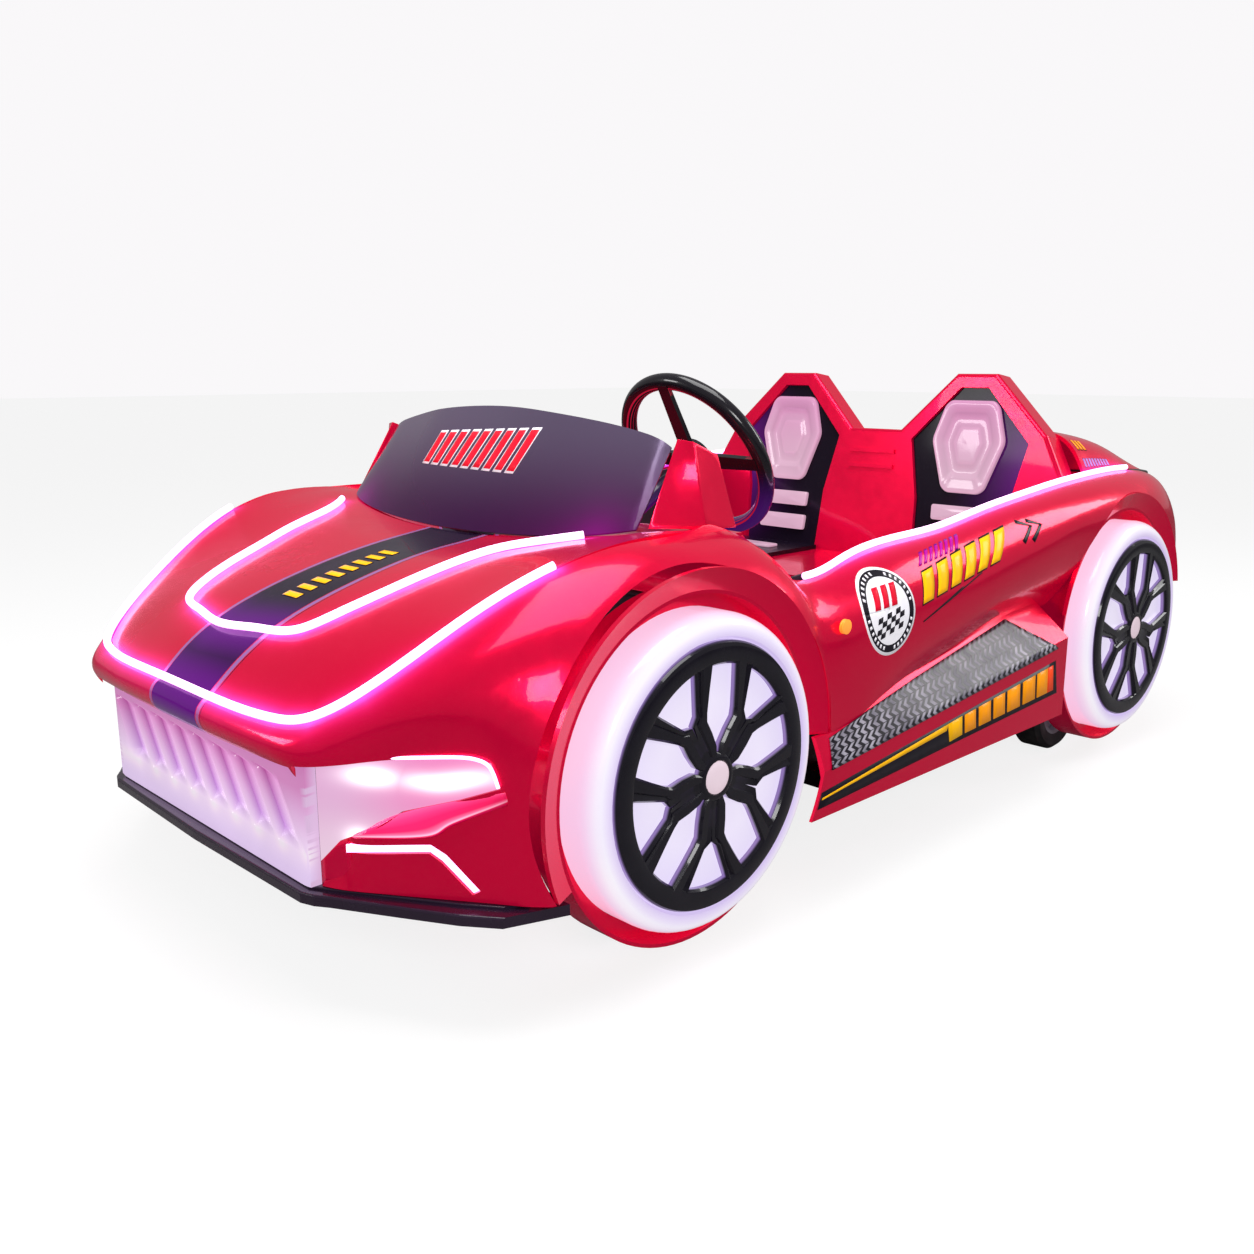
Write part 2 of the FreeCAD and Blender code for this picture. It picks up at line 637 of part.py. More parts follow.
# front axle: beam, yokes and kingpins
beam_low = axle_height - size["beam_size"] / 2
beam_high = axle_height + size["beam_size"] / 2
yoke_low = 44
yoke_high = size["rail_floor"] - 4
ear = 8
barrel_low = 53
barrel_high = 122
web_outer = size["kingpin_half"] - size["barrel_radius"] - 8
beam = block("beam", (-web_outer, web_outer), (front_hub - 20, front_hub + 20), (beam_low, beam_high))
half_axle = []
for word, side in (("left", 1), ("right", -1)):
    inner_x = web_outer - 10
    outer_x = size["kingpin_half"] + size["barrel_radius"]
    for part, x, z in (("web", (inner_x, web_outer), (yoke_low, yoke_high)),
                       ("ear_low", (inner_x, outer_x), (yoke_low, yoke_low + ear)),
                       ("ear_high", (inner_x, outer_x), (yoke_high - ear, yoke_high))):
        span = x if side == 1 else (-x[1], -x[0])
        half_axle.append(block(f"{part}_{word}", span, (front_hub - 16, front_hub + 16), z))
    half_axle.append(rod(f"kingpin_{word}", "z", size["kingpin_radius"], yoke_high - yoke_low,
                         size["kingpin_half"] * side, front_hub, yoke_low))
    half_axle.append(block(f"riser_{word}", (size["rail_half"] * side - 18, size["rail_half"] * side + 18),
                           (front_hub - 18, front_hub + 18), (beam_high, size["rail_floor"])))
foot_top = beam_high + 6
foot = rod("post_foot", "z", 18, foot_top - beam_high, size["steering_offset"], front_hub, beam_high)
node("front_axle", fuse("front_axle", beam, foot, *half_axle))

# knuckles: barrel on the kingpin, stub axle outwards, steering arm backwards
arm_low = 112


def knuckle(word, side):
    x = size["kingpin_half"] * side
    barrel = rod(f"barrel_{word}", "z", size["barrel_radius"], dim(barrel_high) - barrel_low, x, front_hub, barrel_low)
    end_x = size["front_track_half"] + size["tread_width"] / 2 + 8
    length = end_x - size["kingpin_half"]
    start = x if side == 1 else -end_x
    stub = rod(f"stub_{word}", "x", size["stub_radius"], length, start, front_hub, axle_height)
    cap = rod(f"stub_cap_{word}", "x", 16, 5, (end_x - 5) * side if side == 1 else -end_x, front_hub, axle_height)
    arm = block(f"arm_{word}", (x - 11, x + 11), (front_hub, front_hub + size["arm_length"]), (arm_low, arm_low + 8))
    boss = rod(f"arm_boss_{word}", "z", 13, 8, x, front_hub + size["arm_length"], arm_low)
    bore = rod(f"kingpin_bore_{word}", "z", size["kingpin_radius"] + size["running_clearance"], 200, x, front_hub, 0)
    eye = rod(f"arm_eye_{word}", "z", 5 + size["running_clearance"], 60, x, front_hub + size["arm_length"], 80)
    node(f"knuckle_{word}", cut(f"knuckle_{word}", fuse(f"knuckle_blank_{word}", barrel, stub, cap, arm, boss), bore, eye))


knuckle("left", 1)
knuckle("right", -1)

# tie rod: one bar under the three arms, with a pin up into each
tie_low = 98
tie_y = front_hub + size["arm_length"]
tie = rod("tie_bar", "x", 5, size["kingpin_half"] * 2, -size["kingpin_half"], tie_y, tie_low + 6)
pins = []
for index, x in enumerate((-size["kingpin_half"], size["steering_offset"], size["kingpin_half"])):
    pins.append(rod(f"tie_end_{index}", "z", 11, 12, x, tie_y, tie_low))
    pins.append(rod(f"tie_pin_{index}", "z", 5 if index != 1 else 4.6, 24, x, tie_y, tie_low))
node("tie_rod", fuse("tie_rod", tie, *pins))

# steering box, post and column
slope = math.radians(size["column_slope"].value)
column_run = size["steering_wheel_y"] / math.cos(slope)
box_z = size["steering_wheel_z"] - column_run * math.sin(slope)
housing = block("housing", (size["steering_offset"] - 32, size["steering_offset"] + 32), (front_hub - 40, front_hub + 30),
                (box_z - 35, box_z + 32))
strut = block("box_bracket", (size["steering_offset"] - 30, size["steering_offset"] + 30), (front_hub - 58, front_hub - 40),
              (rail_top, box_z + 20))
strut_foot = block("bracket_foot", (size["rail_half"] - 20, size["steering_offset"] + 30),
                   (front_hub - 110, front_hub - 40), (rail_top, rail_top + 8))
node("steering_box", fuse("steering_box", housing, strut, strut_foot))

post_top = box_z - 36
post = rod("post", "z", 11, post_top - foot_top - 1, size["steering_offset"], front_hub, foot_top + 1)
post_hub = rod("post_hub", "z", 17, 10, size["steering_offset"], front_hub, foot_top + 1)
post_arm = block("post_arm", (size["steering_offset"] - 10, size["steering_offset"] + 10),
                 (front_hub, front_hub + size["arm_length"]), (foot_top + 1, foot_top + 8))
post_boss = rod("post_boss", "z", 12, 7, size["steering_offset"], tie_y, foot_top + 1)
post_eye = rod("post_eye", "z", 5.2, 60, size["steering_offset"], tie_y, 80)
node("steering_post", cut("steering_post", fuse("post_blank", post, post_hub, post_arm, post_boss), post_eye))

column_turn = Rotation(Vector(1, 0, 0), -(90 - size["column_slope"].value))


def on_column(obj, along=0):
    """Sets an object built about +Z on the steering axis, measured up from the wheel centre."""
    obj.Placement = Placement(Vector(), column_turn)
    return place(obj, size["steering_offset"], front_hub + size["steering_wheel_y"] + along * math.cos(slope),
                 size["steering_wheel_z"] + along * math.sin(slope))


rim_ring = revolved("rim_ring", [((size["steering_wheel_radius"], 0), size["steering_rim_radius"])])
on_column(rim_ring)
hub_boss = on_column(revolved("wheel_hub", [[(0, -34), (26, -34), (34, -14), (30, 4), (0, 8)]]))
spokes = []
for index, angle in enumerate((0, 180, 270)):
    bar = padded(f"wheel_spoke_{index}", [[(10, -13), (size["steering_wheel_radius"], -10),
                                           (size["steering_wheel_radius"], 10), (10, 13)]], 8, offset=-14)
    bar.Placement = Placement(Vector(), column_turn * Rotation(Vector(0, 0, 1), angle))
    place(bar, size["steering_offset"], front_hub + size["steering_wheel_y"], size["steering_wheel_z"])
    spokes.append(bar)
shaft_length = column_run - 42 - 34
shaft = doc.addObject("Part::Cylinder", "steering_shaft")
bind(shaft, Radius=size["column_radius"], Height=shaft_length)
on_column(shaft, -(shaft_length + 34))
node("steering_wheel", fuse("steering_wheel", rim_ring, hub_boss, shaft, *spokes))

# ---------------------------------------------------------------- running wheels
def running_wheel(word, x, y):
    half = size["tread_width"] / 2
    tyre = revolved(f"tyre_{word}", [[(size["rim_radius"], -half + 4), (size["running_radius"] - 8, -half),
                                      (size["running_radius"], -half + 9), (size["running_radius"], half - 9),
                                      (size["running_radius"] - 8, half), (size["rim_radius"], half - 4)]])
    bore = size["stub_radius"] + size["running_clearance"]
    rim_body = revolved(f"rim_{word}", [[(bore, -half), (24, -half), (24, -10), (size["rim_radius"] - 8, -10),
                                    (size["rim_radius"] - 8, -half + 4), (size["rim_radius"], -half + 4),
                                    (size["rim_radius"], half - 4), (size["rim_radius"] - 8, half - 4),
                                    (size["rim_radius"] - 8, 10), (24, 10), (24, half), (bore, half)]])
    for made, label in ((tyre, "tyre"), (rim_body, "rim")):
        made.Placement = Placement(Vector(), Rotation(Vector(0, 1, 0), 90))
        place(made, x, y, axle_height)
        node(f"{label}_{word}", made)


for word, side in (("left", 1), ("right", -1)):
    running_wheel(f"front_{word}", size["front_track_half"] * side, front_hub)
    running_wheel(f"rear_{word}", size["rear_track_half"] * side, rear_axle_y)

rear_end = size["rear_track_half"] + size["tread_width"] / 2 + 7
rear_inner = size["rear_track_half"] - size["tread_width"] / 2 - 4
rear_beam = block("rear_beam", (-rear_inner, rear_inner), (rear_axle_y - 20, rear_axle_y + 20), (beam_low, beam_high))
rear_stub = rod("rear_stub", "x", size["stub_radius"], rear_end * 2, -rear_end, rear_axle_y, axle_height)
rear_caps = [rod(f"rear_cap_{i}", "x", 16, 5, x, rear_axle_y, axle_height) for i, x in enumerate((-rear_end, rear_end - 5))]
rear_risers = [block(f"rear_riser_{i}", (size["rail_half"] * s - 18, size["rail_half"] * s + 18),
                     (rear_axle_y - 18, rear_axle_y + 18), (beam_high, size["rail_floor"])) for i, s in enumerate((1, -1))]
node("rear_axle", fuse("rear_axle", rear_beam, rear_stub, *rear_caps, *rear_risers))
node("drive_motor", block("drive_motor", (-75, 75), (rear_axle_y - 190, rear_axle_y - 20.3), (62, 162)))
node("battery_pack", block("battery_pack", (-170, 170), (rear_hub + 20, rear_hub + 240), (rail_top, rail_top + 200)))

# ---------------------------------------------------------------- cockpit
tub_floor = rail_top
tub_side = 452
door_top = [(262, 480), (400, 490), (640, 508), (800, 528), (950, 545), (1120, 560)]
floor_pan = block("floor_pan", (-tub_side, tub_side), (front_hub + 264, rear_hub - 100), (tub_floor, tub_floor + 5))
wall_corners = [(front_hub.value + along, z) for along, z in door_top]
wall_corners += [(wall_corners[-1][0], rail_top.value), (wall_corners[0][0], rail_top.value)]
tub_wall = solid("tub_wall", Part.Face(Part.makePolygon([Vector(tub_side, y, z) for y, z in
                 wall_corners + wall_corners[:1]])).extrude(Vector(5, 0, 0)))
fire_wall = block("fire_wall", (-tub_side, tub_side), (front_hub + 259, front_hub + 264), (tub_floor, 420))
column_z = box_z + 262 * math.tan(slope)
column_gap = rod("column_gap", "y", 30, 80, size["steering_offset"], front_hub + 220, column_z)
node("cockpit_tub", cut("cockpit_tub", fuse("tub_blank", floor_pan, fire_wall, tub_wall,
     mirrored("tub_wall_right", tub_wall)), column_gap))

# dash behind the screen, and the two pillars that hold the screen
dash_lines = [
    [(0, 4, 538), (0, 90, 556), (0, 190, 548), (0, 236, 505), (0, 246, 428)],
    [(200, 21, 542), (200, 100, 556), (200, 190, 548), (200, 236, 505), (200, 246, 428)],
    [(345, 68, 557), (345, 110, 558.5), (345, 190, 553), (345, 236, 505), (345, 246, 428)],
    [(380, 104, 559.5), (380, 130, 559), (380, 190, 554), (380, 236, 505), (380, 246, 428)],
]
dash = solid("dash", panel_solid(skin(whole_width([behind(front_hub, line) for line in dash_lines])), wall))
cheek_y = front_hub + 232
cheek = padded("cheek", [[(376, 430), (452, 430), (452, 486), (434, 514), (404, 545), (376, 550)]], 5,
               "XZ_Plane", -(cheek_y + 5))
cheek_top = padded("cheek_top", [[(376, front_hub + 108), (428, front_hub + 104), (436, front_hub + 150),
                                  (404, front_hub + 196), (404, front_hub + 234), (376, front_hub + 236)]], 5,
                   offset=545)
dash = fuse("dash_whole", dash, cheek, cheek_top, mirrored("cheek_right", cheek),
            mirrored("cheek_top_right", cheek_top))
dash_gap = on_column(rod("dash_gap", "z", 30, 400), -320)


def pillar_ring(points, front_z, rear_z):
    """A level or sloping outline of the pillar, from (x, behind the front hub) points, front one first."""
    front, rear = points[0][1], max(y for x, y in points)
    corners = [Vector(x, front_hub.value + y, front_z + (rear_z - front_z) * (y - front) / (rear - front))
               for x, y in points]
    return Part.makePolygon(corners + corners[:1])


pillar = solid("pillar", Part.makeLoft([
    pillar_ring([(374, 68), (412, 147), (402, 223), (384, 223), (367, 84)], 568, 558),
    pillar_ring([(362, 138), (386, 146), (385, 199), (372, 199), (360, 146)], 688, 664)], True, True))
node("screen_cowl", compound("screen_cowl", cut("dash_cut", dash, dash_gap), pillar,
                             mirrored("pillar_right", pillar)))

# windscreen: from the middle out, each line from its foot up
screen_lines = [
    [(0, -14, 542.6), (0, 46, 637), (0, 106, 727)],
    [(137, -4, 544.6), (142, 50, 634), (150, 101, 719)],
    [(219, 8, 548.6), (222, 63, 630), (226, 117, 709)],
    [(285, 22, 554.6), (290, 76, 627), (295, 128, 697)],
    [(340, 42, 562.6), (337, 88, 622), (334, 134, 686)],
    [(362, 56, 566.6), (357, 97, 620), (351, 138, 676)],
]
node("windscreen", solid("windscreen", panel_solid(skin(whole_width([behind(front_hub, line) for line in screen_lines])), 4)))

# ---------------------------------------------------------------- seats
# drawn on the upright seat back, (across, up from the cushion), then tilted about the cushion line
back_depth = 55
recess = 16
insert_depth = 8
seat_gap = 0.4
seat_turn = Rotation(Vector(1, 0, 0), -size["seat_tilt"].value)
rise = (size["seat_top"] - size["seat_base"]) / math.cos(math.radians(size["seat_tilt"].value))
seat_y = rear_hub - size["seat_back_y"]


def on_back(name, loops, depth, front=0):
    """A piece of the seat back, so deep, whose face lies so far behind the back's own face."""
    body = padded(name, loops, depth, "XZ_Plane", -(dim(front) + depth))
    body.Placement = Placement(Vector(), seat_turn)
    return place(body, 0, seat_y, size["seat_base"])


def seat_loop(x, points, grow=0):
    """An outline that is alike left and right of a seat's middle, given down its outer side."""
    right = [(x + across + grow, up + (grow if index == 0 else 0)) for index, (across, up) in enumerate(points)]
    left = [(x - across - grow, up + (grow if index == 0 else 0)) for index, (across, up) in enumerate(points)]
    return right + list(reversed(left))


shoulder = rise - 122
seat_middle = size["seat_offset"]
outline = [(tub_side - 1, -176), (tub_side - 1, shoulder - 88), (seat_middle + 171, shoulder),
           (seat_middle + 46, rise), (seat_middle - 46, rise), (seat_middle - 168, shoulder)]
back_outline = outline + [(-dim(x), up) for x, up in reversed(outline)]
back_slab = on_back("back_slab", [back_outline], back_depth)
insert_points = [(31, rise - 30), (136, rise - 141), (109, rise - 268), (102, 3.5)]
bench = block("bench", (-tub_side + 1, tub_side - 1), (seat_y - 320, seat_y + 20), (tub_floor + 5.3, size["seat_base"]))
bench_inside = block("bench_inside", (-tub_side + 7, tub_side - 7), (seat_y - 314, seat_y + 15),
                     (tub_floor, size["seat_base"] - 6))
recesses = [on_back(f"recess_{i}", [seat_loop(x, insert_points[:-1] + [(102, 0)], 1)], recess)
            for i, x in enumerate((seat_middle, -seat_middle))]
ridges = [on_back(f"ridge_{i}", [[(-58, up), (58, up), (58, up + 9), (-58, up + 9)]], 5, -5)
          for i, up in enumerate((shoulder - 54, shoulder - 88))]


def on_front_rim(edge):
    """Whether an edge runs along the rim of the seat back's front face."""
    upright = back_slab.Placement.inverse()
    return all(abs(upright.multVec(vertex.Point).y) < 0.1 for vertex in edge.Vertexes)


back_soft = rounded("back_soft", back_slab, 8, on_front_rim)
shell = cut("seat_blank", fuse("seat_solid", back_soft, *ridges), *recesses)
node("seat_shell", fuse("seat_shell", shell, cut("bench_shell", bench, bench_inside)))

inserts = []
pads = []
for index, x in enumerate((seat_middle, -seat_middle)):
    inserts.append(on_back(f"insert_{index}", [seat_loop(x, insert_points)], insert_depth, recess - insert_depth - seat_gap))
    inserts.append(block(f"cushion_{index}", (x - 112, x + 112), (seat_y - 300, seat_y - 4),
                         (size["seat_base"] + seat_gap, size["seat_base"] + 10)))
    pad_face = recess - insert_depth - seat_gap * 2 - 12
    pad_points = [(50, rise - 56), (62, rise - 68), (84, rise - 140), (50, rise - 240), (36, rise - 250)]
    pads.append(on_back(f"pad_{index}", [seat_loop(x, pad_points)], 12, pad_face))
    for step, (low, high) in enumerate(((96, 129), (40, 75))):
        pads.append(on_back(f"bar_{index}_{step}", [[(x - 64, low), (x + 64, low), (x + 66, high), (x - 66, high)]],
                            10, pad_face + 2))
    pads.append(block(f"cushion_bar_{index}", (x - 64, x + 64), (seat_y - 118, seat_y - 84),
                      (size["seat_base"] + 10.4, size["seat_base"] + 16)))
node("seat_inserts", compound("seat_inserts", *inserts))
node("seat_pads", compound("seat_pads", *pads))

# ---------------------------------------------------------------- nose
# the corner panels stand on a slant from (295, -430) to (500, -290); drawn along it, then turned
slant_angle = math.degrees(math.atan2(140, 205))
corner_turn = Rotation(Vector(0, 0, 1), slant_angle)


def on_corner(name, loops, depth, front=0):
    """A piece of the left nose corner: drawn as (along the slant, height), so deep, from a face so far in."""
    body = padded(name, loops, depth, "XZ_Plane", -(dim(front) + depth))
    body.Placement = Placement(Vector(), corner_turn)
    return place(body, 295, front_hub - 430, 0)


lens_outline = [(-8, 182), (36, 228), (82, 248), (118, 272), (190, 292), (240, 309), (229, 340), (200, 346),
                (60, 334), (-8, 330)]
fog_outline = [(41.5, 212.4), (150, 222.3), (164.6, 212.6), (203, 174.2), (212.7, 179.9), (171.5, 222.5),
               (152.2, 233.6), (41.5, 223.6)]
lens_hole = on_corner("lens_hole", [lens_outline], 90, -45)
fog_hole = on_corner("fog_hole", [fog_outline], 60, -45)
nose_cuts = [lens_hole, mirrored("lens_hole_right", lens_hole), fog_hole, mirrored("fog_hole_right", fog_hole)]
node("front_body", compound("front_body", cut("nose_shell", front_shell, *nose_cuts), bonnet))
lens = on_corner("lens", [[(x - 1 if x > 220 else x, z - 0.8 if z > 320 else z + 0.8) for x, z in lens_outline[1:-1]]
                          + [(9, 329.3), (9, 200)]], 12, 2)
node("headlights", both_sides("headlights", lens))

splitter_half = [(0, 29), (284, 35), (304, 42), (322, 54), (404, 100), (470, 138), (512, 170), (540, 250), (450, 255)]
upper_half = [(0, 48), (282, 48), (304, 60), (388, 112), (452, 152), (496, 184), (520, 250), (450, 250)]
splitter_outline, upper_outline = (
    [(x, nose + y) for x, y in half] + [(-x, nose + y) for x, y in reversed(half[1:])]
    for half in (splitter_half, upper_half))


def front_edge_at(height):
    """A test for the level edges at this height along a splitter plate's front."""
    return lambda edge: all(abs(vertex.Z - dim(height).value) < 0.1 and vertex.Y < nose.value + 180 for vertex in edge.Vertexes)


splitter_plate = padded("splitter_plate", [splitter_outline], 14, offset=146)
splitter_step = padded("splitter_step", [upper_outline], splitter_top - 159, offset=159)
node("front_splitter", fuse("front_splitter", rounded("splitter_lip", splitter_plate, 4, front_edge_at(160)),
                            rounded("splitter_brow", splitter_step, 2, front_edge_at(splitter_top))))

# grille: a lit panel with nine slanting blades
grille_face = nose + 54
grille_plate = block("grille_plate", (-grille_half + 6, grille_half - 6), (grille_face, grille_face + 8), (164.4, 326))
blades = []
for index in range(9):
    top = -282 + index * 58
    blade = padded(f"blade_{index}", [[(top, 300), (top + 34, 300), (top + 92, 208), (top + 58, 208)]], 11,
                   "XZ_Plane", -(grille_face + 1))
    blades.append(blade)
node("grille", fuse("grille", grille_plate, *blades))

# ---------------------------------------------------------------- lights and trim
def tube(name, line):
    """A light tube along a smooth line."""
    path = Part.Wire([spline(line)])
    first = path.Edges[0]
    circle = Part.Circle(Vector(*line[0]), first.tangentAt(first.FirstParameter), size["light_radius"].value)
    return solid(name, path.makePipeShell([Part.Wire([circle.toShape()])], True, True))


def lifted(surface, u, v, up=0):
    """The middle of a light tube that rests on a surface, or on its edge where another surface meets it."""
    out = outward(surface, u, v) + Vector(0, 0, up)
    return surface.value(u, v) + out.normalize() * (size["light_radius"].value + light_gap)


light_gap = 0.7
outer_ends = [ring.index(station[7]) * STEPS - 1 for station in (right_side, left_side)]
outer_light = tube("outer_light", [lifted(ring_skin, u, 0, 1) for u in range(outer_ends[0], outer_ends[1] + 1)])
inner_half = [(90, -372, 440), (124, -368, 444), (160, -355, 451), (186, -315, 469), (203, -261, 491), (216, -205, 509),
              (231, -152, 525), (249, -95, 540), (280, -44, 550), (318, -2, 557)]
inner_loop = [(-x, y, z) for x, y, z in reversed(inner_half)] + [(0, -387, 441)] + inner_half
inner_light = tube("inner_light", [lifted(bonnet_skin, *bonnet_skin.parameter(Vector(*point)))
                                   for point in behind(front_hub, inner_loop)])
belt_ends = [ring.index(left_side[station]) * STEPS - 1 for station in (front_joint, rear_joint + 4)]
belt_light = tube("belt_light", [lifted(ring_skin, u, 0, 1) for u in range(belt_ends[0] + 1, belt_ends[1] + 1)])
fog_light = on_corner("fog_light", [[(42, 213), (150, 223), (165, 213), (203, 175), (212, 180), (171, 222),
                                     (152, 233), (42, 223)]], 6, 4)
node("light_strips", compound("light_strips", outer_light, inner_light, fog_light,
                              mirrored("fog_light_right", fog_light), belt_light,
                              mirrored("belt_light_right", belt_light)))


def step_corner(station, share, lift):
    """A point of the step's slope, a share of the way in from its edge and lifted off it."""
    y, edge_x, edge_z, inner_x, inner_z = station
    across, up = inner_x - edge_x, inner_z - edge_z
    long = math.hypot(across, up)
    return Vector(edge_x + across * share + up / long * lift, y, edge_z + up * share - across / long * lift)


def step_ring(station):
    y, edge_x, edge_z, inner_x, inner_z = station
    points = [step_corner(station, share, lift) for share, lift in ((0.12, 0.8), (0.12, 3.4), (0.84, 3.4), (0.84, 0.8))]
    return Part.makePolygon(points + points[:1])


def between(first, last, share):
    return tuple(a + (b - a) * share for a, b in zip(first, last))


step_plate = solid("step_plate", Part.makeLoft([step_ring(between(step_front, step_rear, 0.09)),
                                                step_ring(between(step_front, step_rear, 0.96))], True, True))
node("step_plates", both_sides("step_plates", step_plate))
marker = rod("marker", "x", 11, 6, 545.0, front_hub + 300, 420)
tail_light = rod("tail_light", "y", 26, 22, tail_light_x, tail - 24, tail_light_z)
node("marker_lights", compound("marker_lights", marker, mirrored("marker_right", marker), tail_light,
                               mirrored("tail_light_right", tail_light)))

# ---------------------------------------------------------------- checks and export
doc.recompute()
for obj in doc.Objects:
    if "Invalid" in obj.State or "Error" in obj.State:
        raise RuntimeError(f"{obj.Name} did not build: {obj.State}")
for label, obj in NODES.items():
    shape = obj.Shape
    if shape.isNull() or not shape.isValid() or not shape.Solids or shape.Volume <= 0:
        raise RuntimeError(f"{label} has no valid solid")
os.makedirs("parts", exist_ok=True)
for label, obj in NODES.items():
    obj.Shape.exportStep(f"parts/{label}.step")
print(len(NODES), "nodes")
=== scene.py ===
"""Looks of a two-seat electric ride-on car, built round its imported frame."""

import bmesh
import bpy
import numpy as np
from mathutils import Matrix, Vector


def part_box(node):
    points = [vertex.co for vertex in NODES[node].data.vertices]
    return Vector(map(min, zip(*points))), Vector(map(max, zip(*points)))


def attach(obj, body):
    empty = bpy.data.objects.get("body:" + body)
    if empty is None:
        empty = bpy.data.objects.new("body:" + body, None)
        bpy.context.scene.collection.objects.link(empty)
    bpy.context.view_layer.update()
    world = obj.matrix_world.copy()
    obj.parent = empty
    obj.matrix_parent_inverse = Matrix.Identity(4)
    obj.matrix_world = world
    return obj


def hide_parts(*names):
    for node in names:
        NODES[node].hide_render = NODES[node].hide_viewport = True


bl_info = {
    "name": "Ride-on car looks",
    "version": (1, 0, 0),
    "blender": (4, 5, 0),
    "location": "3D View > Sidebar > Ride-on car",
    "description": "Paint, lights, wheels, seats and stage for a two-seat electric ride-on car",
    "category": "Object",
}

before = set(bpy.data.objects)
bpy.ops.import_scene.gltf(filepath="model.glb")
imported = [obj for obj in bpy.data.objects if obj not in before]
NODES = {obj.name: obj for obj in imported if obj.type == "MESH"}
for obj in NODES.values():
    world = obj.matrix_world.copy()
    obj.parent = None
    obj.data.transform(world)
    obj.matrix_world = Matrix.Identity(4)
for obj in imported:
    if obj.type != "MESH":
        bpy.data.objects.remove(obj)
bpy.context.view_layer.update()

# ---------------------------------------------------------------- places on the car, in metres
# the big dummy wheels: their hubs, and the outer face of their spoke covers
FRONT_HUB, REAR_HUB, HUB_HEIGHT = -0.600, 0.678, 0.270
SPOKE_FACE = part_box("spoke_covers")[1].x
# the steering wheel's middle, and the way its shaft points
WHEEL_MIDDLE, WHEEL_AXIS = (0.23, -0.279, 0.648), (0.0, 0.866025, 0.5)
# where the headlamps' slant starts on the left, and the way it runs, both across and along the car
LAMP_START, LAMP_WAY = (0.295, -1.030), (0.8258, 0.5640)
# the bonnet's stripe starts this far along the car and ends this high on the lip
STRIPE_BACK, STRIPE_FOOT = -0.58, 0.325
# the painted glow on lacquer behind the first and above the second takes the colour of the belt's
# lit line
BELT_FRONT, BELT_FOOT = -0.31, 0.40
# a tail lamp's middle, across and up, and the rings in its lens for each metre
TAIL_LAMP, LENS_RINGS = (0.23, 0.455), 250.0
# one row of the woven steps, and one stroke along it
STEP_ROW, STEP_STROKE = 0.0085, 0.0175

# corners of the lit lines on the car's left half, which is also its right half mirrored
NOSE_LINE = [(0, -1.065, 0.380), (0.150, -1.061, 0.377), (0.255, -1.046, 0.376),
             (0.305, -1.030, 0.382), (0.349, -0.984, 0.413), (0.388, -0.896, 0.472),
             (0.413, -0.823, 0.517), (0.434, -0.755, 0.548)]
BONNET_LINE = [(0, -0.990, 0.444), (0.124, -0.968, 0.449), (0.160, -0.955, 0.456),
               (0.186, -0.915, 0.474), (0.203, -0.861, 0.496), (0.231, -0.752, 0.530),
               (0.280, -0.644, 0.555), (0.318, -0.602, 0.562)]
BELT_LINE = [(0.469, -0.300, 0.496), (0.469, 0.040, 0.522), (0.469, 0.300, 0.551),
             (0.469, 0.560, 0.574), (0.469, 0.800, 0.580)]

# the joint under the rear deck's edge, from the middle of the tail round its left corner
DECK_SEAL_LINE = [(0, 1.0290, 0.5490), (0.150, 1.0285, 0.5490), (0.250, 1.0255, 0.5490),
                  (0.320, 1.0180, 0.5500), (0.388, 1.0010, 0.5530), (0.425, 0.9830, 0.5555),
                  (0.444, 0.9640, 0.5580), (0.454, 0.9250, 0.5625), (0.458, 0.8800, 0.5670),
                  (0.460, 0.8300, 0.5710)]
# the joint between the tub's front wall and the dash
DASH_SEAL_LINE = [(-0.456, -0.3515, 0.4250), (0, -0.3515, 0.4250), (0.456, -0.3515, 0.4250)]


# ---------------------------------------------------------------- shader helpers
def connect(socket, value):
    """Gives a socket another node's output, or a plain value."""
    value = getattr(value, "socket", value)
    if isinstance(value, bpy.types.NodeSocket):
        socket.id_data.links.new(value, socket)
    elif socket.type == "RGBA" and len(value) == 3:
        socket.default_value = (*value, 1)
    else:
        socket.default_value = value


def wire(tree, kind, inputs=None, **settings):
    """A shader node with its settings and its inputs."""
    made = tree.nodes.new(kind)
    for name, value in settings.items():
        setattr(made, name, value)
    for name, value in (inputs or {}).items():
        connect(made.inputs[name], value)
    return made


def reckon(operation, a, b=0.0, clamp=False):
    """One number worked out from two, at least one of which comes from a node."""
    tree = (a if isinstance(a, Value) else b).socket.id_data
    return Value(wire(tree, "ShaderNodeMath", {0: a, 1: b}, operation=operation,
                      use_clamp=clamp).outputs[0])


def sign(operation):
    """A method of Value that does the work of one Math node."""
    return lambda self, other=0.0: reckon(operation, self, other)


